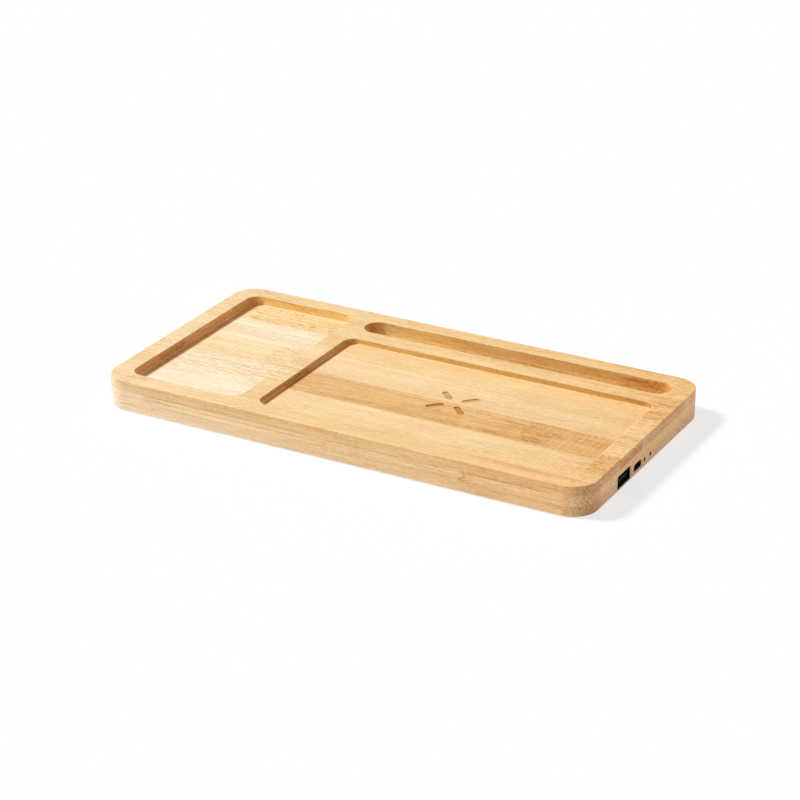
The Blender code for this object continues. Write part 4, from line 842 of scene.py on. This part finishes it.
def undersideCutters():
    gap, room, shelf = tray["gap"], tray["bayGap"], tray["ledgeWidth"]
    corner, wellCorner = tray["bayCorner"], tray["wellCorner"]
    boardLeft, boardRight = boardSpan[0] - gap, boardSpan[1] + gap
    boardFront, boardBack = boardSpan[2] - gap, boardSpan[3] + gap
    coilRight = ferriteSpan[1] + room
    rebateTop = slabBottom + tray["rebateDepth"]
    rebate = (coverSpan[0] - gap, boardRight, coverSpan[2] - gap, coverSpan[3] + gap)
    coilBay = (ferriteSpan[0] - room, coilRight, ferriteSpan[2] - room, ferriteSpan[3] + room)
    boardBay = (boardLeft, boardRight, boardFront, boardBack)
    boardWell = (coilRight - 2 * corner, boardRight, boardFront + shelf, boardBack - shelf)
    socketWell = (usbSpan[0] - gap, boardRight, boardFront, boardBack - shelf)
    yield bayCutter("rebate", rebate, tray["rebateCorner"], rebateTop)
    yield bayCutter("coilBay", coilBay, corner, tray["ceiling"])
    yield bayCutter("boardBay", boardBay, wellCorner, tray["ledge"])
    yield bayCutter("boardWell", boardWell, corner, tray["ceiling"])
    yield bayCutter("socketWell", socketWell, wellCorner, usbMouth[3] + gap)
    for name in nodes:
        middle, top = centreOf(name), span(name)[5] + gap
        if name.startswith(("cover_screw", "board_screw")):
            bottom = (rebateTop if name.startswith("cover") else tray["ledge"]) - tray["pilotLead"]
            yield drillCutter(name + "_pilot", middle, tray["pilotRadius"], bottom, top)
        if name.startswith("foot_"):
            left, right = span(name)[:2]
            radius = (right - left) / 2 + gap
            yield drillCutter(name + "_seat", middle, radius, -tray["overrun"], top, steps=48)


def portCutters():
    yield portCutter("usbPort", usbPortOutline)
    yield portCutter("microPort", microPortOutline)
    for name in ("status_light_1", "status_light_2"):
        left, right, front, back, bottom, top = span(name)
        middle = ((front + back) / 2, (bottom + top) / 2)
        yield portCutter(name + "_hole", lambda grow: ringOutline(*middle, tray["pinhole"] + grow, 16))


def makeTray(wood):
    piece = slabPiece()
    cutters = [pocketCutter(name) for name in ("leftPocket", "phonePocket", "penSlot")]
    cutters += [strokeCutter(number) for number in range(tray["mark"]["strokes"])]
    cutters += list(undersideCutters())
    cutters += list(portCutters())
    combine(piece, cutters)
    dress(piece, wood, "bamboo", "tray")


makeTray(Bamboo().finished())
print("tray made")


# Turned and wound shapes

def turned(name, profile, steps, middle, roundness=None):
    # a closed solid of revolution; the profile runs upwards as (radius, z) pairs
    rings = []
    for radius, z in profile:
        ring = []
        for step in range(steps):
            turn = 2 * math.pi * step / steps
            reach = radius if roundness is None else roundness(radius, z, turn)
            ring.append((middle[0] + reach * math.cos(turn), middle[1] + reach * math.sin(turn), z))
        rings.append(ring)
    return loft(name, rings)


# Bottom cover

cover = {
    "colour": (0.018, 0.018, 0.019),
    "corner": 5.0,
    "edge": 0.3,
    "thickness": 1.2,
    "lipThickness": 1.2,
    "lipGap": 1.0,
    "countersinkRim": 0.3,
    "screwRadius": 1.0,
    "headRadius": 1.9,
    "reliefCorner": 1.0,
}


def coverFinish():
    # spark-eroded tool texture
    plastic = Finish("moulded cover plastic", roughness=0.5, Specular_IOR_Level=0.4)
    place = plastic.millimetres()
    pits = plastic.noise(place, 3.2, 3.0, 0.6)
    cloud = plastic.noise(place, 0.05, 2.0)
    shade = plastic.blend(cloud, cover["colour"], tuple(value * 1.5 for value in cover["colour"]))
    return plastic.coat(shade, 0.46 + pits * 0.2 + cloud * 0.06, pits, 0.5, 0.00006)


def makeCover(plastic):
    left, right, front, back, bottom, top = coverSpan
    plateTop = bottom + cover["thickness"]
    rings = []
    for inset, rise in edgeRings(cover["edge"], cover["edge"], 4):
        sides = (left + inset, right - inset, front + inset, back - inset)
        rings.append(level(roundedOutline(*sides, cover["corner"] - inset, 16), bottom + rise))
    rings.append(level(roundedOutline(left, right, front, back, cover["corner"], 16), plateTop))
    piece = loft("cover", rings)

    # the lip that pens the foam, fused to the plate
    half = (ferriteSpan[1] - ferriteSpan[0]) / 2 + tray["bayGap"] - cover["lipGap"]
    hollow = half - cover["lipThickness"]
    around = (markX - half, markX + half, markY - half, markY + half)
    within = (markX - hollow, markX + hollow, markY - hollow, markY + hollow)
    outer = roundedOutline(*around, tray["bayCorner"], 8)
    inner = roundedOutline(*within, tray["bayCorner"] - cover["lipThickness"], 8)
    root = bottom + cover["thickness"] / 2
    lip = loft("lip", [
        level(inner, (root + plateTop) / 2), level(inner, top), level(outer, top), level(outer, root),
    ])
    combine(piece, [lip], "UNION")

    cutters = []
    relief = roundedOutline(
        usbSpan[0] - tray["gap"], right + tray["overrun"], usbMouth[0] - tray["gap"],
        usbMouth[1] + tray["gap"], cover["reliefCorner"], 4,
    )
    cutters.append(loft("relief", [
        level(relief, usbMouth[2] - tray["gap"]), level(relief, top + tray["overrun"]),
    ]))
    mouth = cover["headRadius"] + tray["gap"]
    hole = cover["screwRadius"] + tray["gap"]
    rim = bottom + cover["countersinkRim"]
    profile = [
        (mouth, bottom - tray["overrun"]), (mouth, rim), (hole, rim + mouth - hole),
        (hole, plateTop + tray["overrun"]),
    ]
    for name in nodes:
        if name.startswith("cover_screw"):
            cutters.append(turned(name + "_sink", profile, 48, centreOf(name)))
    combine(piece, cutters)
    dress(piece, plastic, "cover_plastic", "bottom_cover")


makeCover(coverFinish())
print("cover made")


# Feet

foot = {
    "colour": (0.022, 0.022, 0.022),
    "edge": 0.4,
    "topEdge": 0.1,
    "dish": 0.15,  # depth of the hollow underneath
    "dishRadius": 3.6,
    "dishSlope": 0.5,
    "dishMiddle": 0.4,
}


def rubberFinish():
    rubber = Finish("foot rubber", roughness=0.75, Specular_IOR_Level=0.3)
    place = rubber.millimetres()
    grime = rubber.noise(place, 0.6, 3.0, 0.6)
    skin = rubber.noise(place, 6.0, 2.0)
    shade = rubber.blend(
        grime.rise(0.5, 0.75), foot["colour"], tuple(value * 2.6 for value in foot["colour"])
    )
    return rubber.coat(shade, 0.66 + grime * 0.24, skin, 0.3, 0.00004)


def makeFeet(rubber):
    for name in nodes:
        if not name.startswith("foot_"):
            continue
        left, right, front, back, bottom, top = span(name)
        radius = (right - left) / 2
        dishTop, rim = bottom + foot["dish"], foot["dishRadius"]
        profile = [(foot["dishMiddle"], dishTop), (rim - foot["dishSlope"], dishTop), (rim, bottom)]
        for inset, rise in edgeRings(foot["edge"], foot["edge"], 5):
            profile.append((radius - inset, bottom + rise))
        profile += [(radius, top - foot["topEdge"]), (radius - foot["topEdge"], top)]
        dress(turned(name + "_pad", profile, 64, centreOf(name)), rubber, "foot_rubber", name)


makeFeet(rubberFinish())
print("feet made")


# Screws

screw = {
    "coreShare": 0.80,  # of the thread's outer radius
    "pitch": 0.7,
    "sliceShare": 1 / 12,  # of the pitch
    "steps": 24,
    "crossLength": 2.2,
    "crossWidth": 0.5,
    "crossDepth": 0.5,
    "headRound": 0.12,
    "headMiddle": 0.3,
    "sunkRim": 0.2,  # height of a countersunk head's rim, and of a plain head
    "headHeight": 1.3,
    "plainLength": 0.25,  # before the thread starts
    "tipLength": 0.4,
    "tip": ((0.55, 0.08), (0.3, 0.0)),  # share of the thread's outer radius, and how far below the end
    "runOut": 0.2,
    "crossTaper": 0.35,
}


def steelFinish():
    # zinc plate, dulled in blotches and with fine turning marks
    steel = Finish("zinc plated steel", roughness=0.3, metallic=1.0)
    place = steel.millimetres()
    blotch = steel.noise(place, 0.9, 3.0, 0.6)
    fine = steel.noise(place, 7.0, 2.0)
    shade = steel.blend(blotch, (0.52, 0.53, 0.55), (0.68, 0.68, 0.66))
    return steel.coat(shade, 0.24 + blotch * 0.22, fine, 0.2, 0.00002)


def screwPiece(name, countersunk):
    left, right, front, back, bottom, top = span(name)
    headRadius, shank, edge = (right - left) / 2, cover["screwRadius"], screw["headRound"]
    profile = [(screw["headMiddle"], bottom), (headRadius - edge, bottom), (headRadius, bottom + edge)]
    if countersunk:
        rim = bottom + screw["sunkRim"]
        neck = rim + headRadius - shank
        profile += [(headRadius, rim), (shank, neck)]
    else:
        neck = bottom + screw["headHeight"]
        profile += [(headRadius, neck - edge), (headRadius - edge, neck), (shank, neck)]
    start, end = neck + screw["plainLength"], top - screw["tipLength"]
    slices = round((end - start) / (screw["pitch"] * screw["sliceShare"]))
    profile += [(shank, start + (end - start) * step / slices) for step in range(slices + 1)]
    profile += [(shank * share, top - drop) for share, drop in screw["tip"]]

    def thread(radius, z, turn):
        if not start < z <= end:
            return radius
        phase = ((z - start) / screw["pitch"] - turn / (2 * math.pi)) % 1
        crest = 1 - abs(2 * phase - 1)
        ease = min(1, (z - start) / screw["pitch"], (end - z) / screw["pitch"] + screw["runOut"])
        return radius * (1 - (1 - screw["coreShare"]) * (1 - crest) * max(0, ease))

    return turned(name + "_turned", profile, screw["steps"], centreOf(name), thread)


def crossCutters(middle, bottom):
    # the two slots of the cross, tapered towards their floor
    halfLong, halfWide = screw["crossLength"] / 2, screw["crossWidth"] / 2
    levels = (
        (0, bottom - tray["overrun"]), (0, bottom), (screw["crossTaper"], bottom + screw["crossDepth"]),
    )
    for halfX, halfY in ((halfLong, halfWide), (halfWide, halfLong)):
        rings = []
        for shrink, z in levels:
            reachX = halfX - (shrink if halfX > halfY else shrink / 4)
            reachY = halfY - (shrink if halfY > halfX else shrink / 4)
            corners = ((-reachX, -reachY), (reachX, -reachY), (reachX, reachY), (-reachX, reachY))
            rings.append(level([(middle[0] + x, middle[1] + y) for x, y in corners], z))
        yield loft("recess", rings)


def makeScrews(steel):
    for name in nodes:
        if name.startswith(("cover_screw", "board_screw")):
            piece = screwPiece(name, name.startswith("cover_screw"))
            combine(piece, list(crossCutters(centreOf(name), span(name)[4])))
            dress(piece, steel, "screw_steel", name)


makeScrews(steelFinish())
print("screws made")


# Charging coil

coil = {
    "wire": 0.8,
    "pitch": 1.25,
    "innerRadius": 10.25,
    "wholeTurns": 9,
    "startAngle": 180,
    "endAngle": 300,
    "hookRadius": 6.0,
    "hookSweep": 90,
    "climbShare": 0.6,
    "dropGap": 0.45,
    "run": 8.0,
    "bendRadius": 12.0,
    "ramp": 10.0,
    "landing": 3.0,
    "bundles": 7,  # strands that show round the wire
    "bundleDepth": 0.05,
    "lay": 7.0,  # length of one twist
    "step": 0.45,
    # how finely the route is worked out
    "leadSteps": 24,
    "hookSteps": 32,
    "turnSteps": 96,
    "bendSteps": 16,
}


def copperFinish():
    copper = Finish("enamelled copper", roughness=0.3, metallic=1.0, Coat_Roughness=0.15)
    place = copper.millimetres()
    varnish = copper.noise(place, 0.5, 3.0)
    fine = copper.noise(place, 9.0, 2.0)
    shade = copper.blend(varnish, (0.52, 0.20, 0.07), (0.72, 0.33, 0.14))
    return copper.coat(shade, 0.28 + fine * 0.14, fine, 0.3, 0.00003, Coat_Weight=0.4 + varnish * 0.3)


def eased(share):
    share = min(1, max(0, share))
    return share * share * (3 - 2 * share)


def coilRoute():
    # out of the board, under the turns to the middle, round the spiral and back down to the board
    turns = coil["wholeTurns"] + (coil["endAngle"] - coil["startAngle"]) / 360
    turnsZ = span("charging_coil")[5] - coil["wire"] / 2
    leadZ = turnsZ - coil["wire"] - coil["dropGap"]
    landingZ = boardSpan[5] + tray["gap"] + coil["wire"] / 2
    landing = boardSpan[0] + coil["landing"] - markX
    hook = coil["hookRadius"]

    def polar(radius, degrees, z):
        turn = math.radians(degrees)
        return Vector((radius * math.cos(turn), radius * math.sin(turn), z))

    route = []
    for share in shares(coil["leadSteps"]):
        z = landingZ + (leadZ - landingZ) * eased(share)
        route.append(Vector((landing - coil["ramp"] * share, hook, z)))
    first = coil["startAngle"] - coil["hookSweep"]
    for share in shares(coil["hookSteps"])[:-1]:
        radius = hook + (coil["innerRadius"] - hook) * eased(share)
        z = leadZ + (turnsZ - leadZ) * eased(share / coil["climbShare"])
        route.append(polar(radius, first + coil["hookSweep"] * share, z))
    for step in range(round(turns * coil["turnSteps"]) + 1):
        wound = step / coil["turnSteps"]
        radius = coil["innerRadius"] + coil["pitch"] * wound
        route.append(polar(radius, coil["startAngle"] + 360 * wound, turnsZ))
    heading = math.radians(coil["endAngle"] + 90 - 360)
    ahead = Vector((math.cos(heading), math.sin(heading), 0))
    start = route[-1] + ahead * coil["run"]
    bend = coil["bendRadius"]
    centre = start + Vector((math.sin(heading), -math.cos(heading), 0)) * bend
    for share in shares(coil["bendSteps"]):
        angle = heading * (1 - share)
        route.append(centre + Vector((-math.sin(angle), math.cos(angle), 0)) * bend)
    across = route[-1].y
    for share in shares(coil["leadSteps"]):
        z = turnsZ + (landingZ - turnsZ) * eased(share)
        route.append(Vector((landing - coil["ramp"] * (1 - share), across, z)))
    middle = Vector((markX, markY, 0))
    return [point + middle for point in route]


def evenly(route, step):
    # the same line with its points a step apart
    walked = [0.0]
    for before, after in zip(route, route[1:]):
        walked.append(walked[-1] + (after - before).length)
    count = round(walked[-1] / step)
    even, index = [], 0
    for number in range(count + 1):
        target = walked[-1] * number / count
        while index < len(route) - 2 and walked[index + 1] < target:
            index += 1
        length = walked[index + 1] - walked[index]
        share = (target - walked[index]) / length if length > 0 else 0
        even.append(route[index].lerp(route[index + 1], share))
    return even


def makeCoil(copper):
    points = evenly(coilRoute(), coil["step"])
    rings = []
    sides = 2 * coil["bundles"]
    for index, point in enumerate(points):
        along = (points[min(index + 1, len(points) - 1)] - points[max(index - 1, 0)]).normalized()
        across = along.cross(Vector((0, 0, 1))).normalized()
        upwards = across.cross(along)
        twist = 2 * math.pi * index * coil["step"] / coil["lay"]
        ring = []
        for side in range(sides):
            radius = coil["wire"] / 2 - (coil["bundleDepth"] if side % 2 else 0)
            turn = twist + 2 * math.pi * side / sides
            ring.append(point + (across * math.cos(turn) + upwards * math.sin(turn)) * radius)
        rings.append(ring)
    dress(loft("litz_coil", rings), copper, "coil_copper", "charging_coil", degrees=70)


makeCoil(copperFinish())
print("coil made")


# Foam pad

foam = {
    "colour": (0.030, 0.030, 0.032),
    "corner": 2.0,
    "edge": 0.9,
    "crown": 0.25,
    "crownReach": 12,
    "bulge": 0.35,
    "rows": 8,
    "voxel": 0.7,
    "poreSize": 1.2,
    "poreDepth": 0.12,
}


def foamFinish():
    sheen = {"Sheen_Weight": 0.2, "Sheen_Roughness": 0.6}
    soft = Finish("open foam", roughness=0.95, Specular_IOR_Level=0.15, **sheen)
    place = soft.millimetres()
    cells = soft.node("ShaderNodeTexVoronoi", {"feature": "SMOOTH_F1"}, {"Vector": place, "Scale": 1.6})
    mottle = soft.noise(place, 0.25, 3.0)
    pore = cells.rise(0.55, 0.15)
    shade = soft.blend(pore, tuple(value * 1.8 for value in foam["colour"]), foam["colour"])
    shade = soft.blend(mottle * 0.5, shade, tuple(value * 2.4 for value in foam["colour"]))
    return soft.give(Base_Color=shade, Normal=soft.bump(cells, 0.8, 0.0003))


def makeFoam(soft):
    # squeezed between the cover and the ferrite: flat in its middle, crowned at its edges, bulged sides
    left, right, front, back, bottom, top = span("foam_pad")
    rings = []
    for share in shares(foam["rows"]):
        side = math.sin(math.pi * share)
        inset = foam["edge"] * (1 - side) ** 2
        draw = inset + foam["bulge"] * (1 - side)
        sides = (left + draw, right - draw, front + draw, back - draw)
        rings.append(level(roundedOutline(*sides, foam["corner"], 8), bottom + (top - bottom) * share))
    piece = loft("foam", rings)
    fine = piece.modifiers.new("cells", "REMESH")
    fine.mode = "VOXEL"
    fine.voxel_size = foam["voxel"] * mm
    clouds = bpy.data.textures.new("pores", "CLOUDS")
    clouds.noise_scale = foam["poreSize"] * mm
    rough = piece.modifiers.new("pores", "DISPLACE")
    rough.texture = clouds
    rough.texture_coords = "LOCAL"
    rough.strength = foam["poreDepth"] * mm
    rough.mid_level = 1.0
    applyAll(piece)
    middle = (bottom + top) / 2 * mm
    for vertex in piece.data.vertices:
        x, y = vertex.co.x / mm, vertex.co.y / mm
        edge = min(x - left, right - x, y - front, back - y)
        sink = foam["crown"] * (1 - eased(edge / foam["crownReach"])) / ((top - bottom) / 2)
        vertex.co.z = middle + (vertex.co.z - middle) * (1 - sink)
    dress(piece, soft, "foam", "foam_pad", degrees=80)


makeFoam(foamFinish())
print("foam made")


# Board, its parts and the sockets keep their solids

def ferriteFinish():
    grey = Finish("pressed ferrite", roughness=0.6, Specular_IOR_Level=0.35)
    place = grey.millimetres()
    grain = grey.noise(place, 2.4, 4.0, 0.65)
    cloud = grey.noise(place, 0.09, 2.0)
    shade = grey.blend(grain.rise(0.35, 0.7), (0.022, 0.022, 0.025), (0.055, 0.054, 0.058))
    return grey.coat(shade, 0.5 + grain * 0.2 + cloud * 0.1, grain, 0.4, 0.00005)


def laminateFinish():
    # solder mask over copper: tracks along X and Y in patches, tinned vias, bare glass at the cut edge
    green = Finish("circuit board", roughness=0.3, Coat_Roughness=0.2)
    place = green.millimetres()
    x, y, z = green.parts(place)
    normalX, normalY, normalZ = green.parts(green.where("Normal"))
    patch = green.noise(place * (0.11, 0.11, 0.0), 1.0, 1.0)
    turns = 2 * math.pi / 1.27  # one track in every 1.27 mm
    alongX = (y * turns).sine().rise(0.25, 0.45) * patch.rise(0.52, 0.54)
    alongY = (x * turns).sine().rise(0.25, 0.45) * patch.rise(0.44, 0.42)
    tracks = alongX + alongY
    cells = green.node(
        "ShaderNodeTexVoronoi", {"feature": "F1"}, {"Vector": place * (0.28, 0.28, 0.0), "Randomness": 0.7}
    )
    via = cells.rise(0.11, 0.09)
    ring = cells.rise(0.15, 0.13)
    edge = abs(normalZ).rise(0.7, 0.4)
    shade = green.blend(tracks, (0.010, 0.085, 0.035), (0.016, 0.155, 0.060))
    shade = green.blend(ring, shade, (0.60, 0.60, 0.56))
    shade = green.blend(via, shade, (0.02, 0.02, 0.02))
    shade = green.blend(edge, shade, (0.30, 0.33, 0.16))
    metal = ring * (1 - via) * (1 - edge)
    height = tracks * 0.5 + ring * 0.3 - via
    mask = (1 - metal) * (1 - edge) * 0.4
    height = height * (1 - edge)
    return green.coat(shade, 0.32 + edge * 0.4, height, 0.4, 0.00004, Metallic=metal, Coat_Weight=mask)


def tinnedEnds(along, share):
    # 1 on the tinned ends, each this share of the node's box
    start = 0.5 - share
    return abs(along - 0.5).rise(start - 0.01, start + 0.01)


def chipFinish(name, legShare=0):
    # moulded epoxy, with tinned legs on both sides if they have a share of the node's box
    black = Finish(name, roughness=0.5)
    grain = black.noise(black.millimetres(), 8.0, 3.0, 0.6)
    shade = black.blend(grain, (0.012, 0.012, 0.013), (0.030, 0.030, 0.031))
    rough = 0.42 + grain * 0.2
    if not legShare:
        return black.coat(shade, rough, grain, 0.3, 0.00002)
    legs = tinnedEnds(black.parts(black.where("Generated"))[1], legShare)
    shade = black.blend(legs, shade, (0.66, 0.66, 0.64))
    return black.coat(shade, rough * (1 - legs * 0.4), grain, 0.3, 0.00002, Metallic=legs)


def capacitorFinish(name, body):
    # fired ceramic between tinned ends
    fired = Finish(name, roughness=0.45)
    ends = tinnedEnds(fired.parts(fired.where("Generated"))[1], 0.156)
    grain = fired.noise(fired.millimetres(), 5.0, 3.0)
    shade = fired.blend(grain, body, tuple(value * 1.35 for value in body))
    shade = fired.blend(ends, shade, (0.70, 0.70, 0.68))
    return fired.coat(shade, 0.36 + grain * 0.18, grain, 0.3, 0.00003, Metallic=ends)


def socketMetalFinish():
    dark = Finish("black nickel", roughness=0.5, metallic=0.4, Specular_IOR_Level=0.12)
    place = dark.millimetres()
    brushed = dark.noise(place * (0.6, 6.0, 6.0), 1.0, 2.0)
    wear = dark.noise(place, 0.7, 3.0)
    shade = dark.blend(wear, (0.003, 0.003, 0.004), (0.007, 0.007, 0.008))
    return dark.coat(shade, 0.42 + brushed * 0.2, brushed, 0.25, 0.00002)


def socketPlasticFinish():
    # the tongue's edges are painted greyer than its faces, a painted highlight
    black = Finish("socket insulator", roughness=0.6, Specular_IOR_Level=0.03)
    place = black.millimetres()
    normalX, normalY, normalZ = black.parts(black.where("Normal"))
    grain = black.noise(place, 7.0, 2.0)
    # painted highlight on the tongue's edges
    edge = abs(normalX).band(0.5, 0.9, 0.2)
    shade = black.blend(grain, (0.003, 0.003, 0.003), (0.007, 0.007, 0.007))
    shade = black.blend(edge, shade, (0.10, 0.10, 0.11))
    return black.coat(shade, 0.5 + grain * 0.2, grain, 0.3, 0.00002)


def goldFinish():
    gold = Finish("contact gold", roughness=0.3, metallic=1.0)
    place = gold.millimetres()
    wiped = gold.noise(place * (0.5, 8.0, 8.0), 1.0, 2.0)
    shade = gold.blend(wiped, (0.70, 0.45, 0.16), (0.90, 0.66, 0.30))
    return gold.coat(shade, 0.24 + wiped * 0.2, wiped, 0.2, 0.00001)


def lightFinish():
    smoky = Finish("smoky light body", roughness=0.3, Specular_IOR_Level=0.4)
    place = smoky.millimetres()
    flow = smoky.noise(place, 1.2, 2.0)
    shade = smoky.blend(flow, (0.010, 0.008, 0.006), (0.020, 0.016, 0.012))
    return smoky.coat(shade, 0.36 + flow * 0.15, flow, 0.2, 0.00003)


def inductorFinish():
    # a pressed block with a flush round core
    block = Finish("moulded inductor", roughness=0.55)
    place = block.millimetres()
    grain = block.noise(place, 4.0, 4.0, 0.65)
    shade = block.blend(grain.rise(0.4, 0.65), (0.030, 0.030, 0.032), (0.080, 0.078, 0.078))
    return block.coat(shade, 0.5 + grain * 0.2, grain, 0.4, 0.00004)


def dressNodes(finishes):
    for start, material in finishes.items():
        for name in nodes:
            if name.startswith(start):
                mesh = nodes[name].data
                mesh.materials.clear()
                mesh.materials.append(material)


socketMetal, socketPlastic = socketMetalFinish(), socketPlasticFinish()
dressNodes({
    "ferrite_sheet": ferriteFinish(),
    "circuit_board": laminateFinish(),
    "charge_controller": chipFinish("controller epoxy"),
    "coil_driver": chipFinish("driver epoxy", 0.15),
    "usb_output_controller": chipFinish("output chip epoxy", 0.19),
    "power_inductor": inductorFinish(),
    "resonant_capacitor": capacitorFinish("resonant capacitor ceramic", (0.42, 0.27, 0.13)),
    "input_capacitor": capacitorFinish("input capacitor ceramic", (0.32, 0.22, 0.13)),
    "usb_a_shell": socketMetal,
    "micro_usb_shell": socketMetal,
    "usb_a_tongue": socketPlastic,
    "micro_usb_tongue": socketPlastic,
    "usb_a_contact": goldFinish(),
    "status_light": lightFinish(),
})
print("nodes dressed")


# Stage and light

studio = {
    "ambient": 0.20,
    "ambientTint": (1.0, 0.95, 0.88),
    # across is how wide each sun is in degrees, which sets how soft its shadows are
    "key": {"travel": (0.653, 0.218, -0.726), "strength": 3.3, "across": 11.0, "tint": (1.0, 1.0, 1.0)},
    "fill": {"travel": (-0.93, -0.26, -0.24), "strength": 1.25, "across": 50.0, "tint": (0.98, 1.0, 1.02)},
    "floorColour": 0.95,
    "floorGlow": 0.72,
    "floorHalf": 4.0,  # metres
}


def makeFloor():
    shape = bmesh.new()
    half = studio["floorHalf"]
    shape.faces.new([shape.verts.new(corner) for corner in (
        (-half, -half, 0), (half, -half, 0), (half, half, 0), (-half, half, 0),
    )])
    floor = newPiece("floor", shape)
    paper = Finish("white paper")
    tree = paper.tree
    tree.nodes.remove(paper.shader)
    white = (studio["floorColour"],) * 3
    diffuse = paper.node("ShaderNodeBsdfDiffuse", {}, {"Color": white})
    glow = paper.node("ShaderNodeEmission", {}, {"Color": (1, 1, 1), "Strength": 1.0})
    seen = paper.node("ShaderNodeLightPath", output="Is Camera Ray")
    mixed = paper.node("ShaderNodeMixShader", {}, {0: seen * studio["floorGlow"], 1: diffuse, 2: glow})
    paper.feed(tree.nodes["Material Output"].inputs["Surface"], mixed)
    floor.data.materials.append(paper.material)


def makeWorld():
    # what the camera and any gloss see is white; what lights the tray is softer and a little warm
    world = bpy.data.worlds.new("studio")
    world.use_nodes = True
    scene.world = world
    sky = Shading(world.node_tree)
    seen = sky.node("ShaderNodeLightPath", output="Is Camera Ray")
    for kind in ("Is Glossy Ray", "Is Transmission Ray"):
        seen = seen.most(sky.node("ShaderNodeLightPath", output=kind))
    ambient = tuple(studio["ambient"] * share for share in studio["ambientTint"])
    sky.feed(sky.tree.nodes["Background"].inputs["Color"], sky.blend(seen, ambient, (1, 1, 1)))


def makeLamp(name):
    # a sun, so that the paper is lit evenly
    plan = studio[name]
    lamp = bpy.data.lights.new(name, "SUN")
    lamp.angle = math.radians(plan["across"])
    lamp.energy = plan["strength"]
    lamp.color = plan["tint"]
    sun = bpy.data.objects.new(name, lamp)
    scene.collection.objects.link(sun)
    travel = Vector(plan["travel"]).normalized()
    sun.location = -travel
    sun.rotation_mode = "QUATERNION"
    sun.rotation_quaternion = travel.to_track_quat("-Z", "Y")


makeFloor()
makeWorld()
makeLamp("key")
makeLamp("fill")
scene.view_settings.view_transform = "Standard"
print("stage and light set")

bpy.context.view_layer.update()
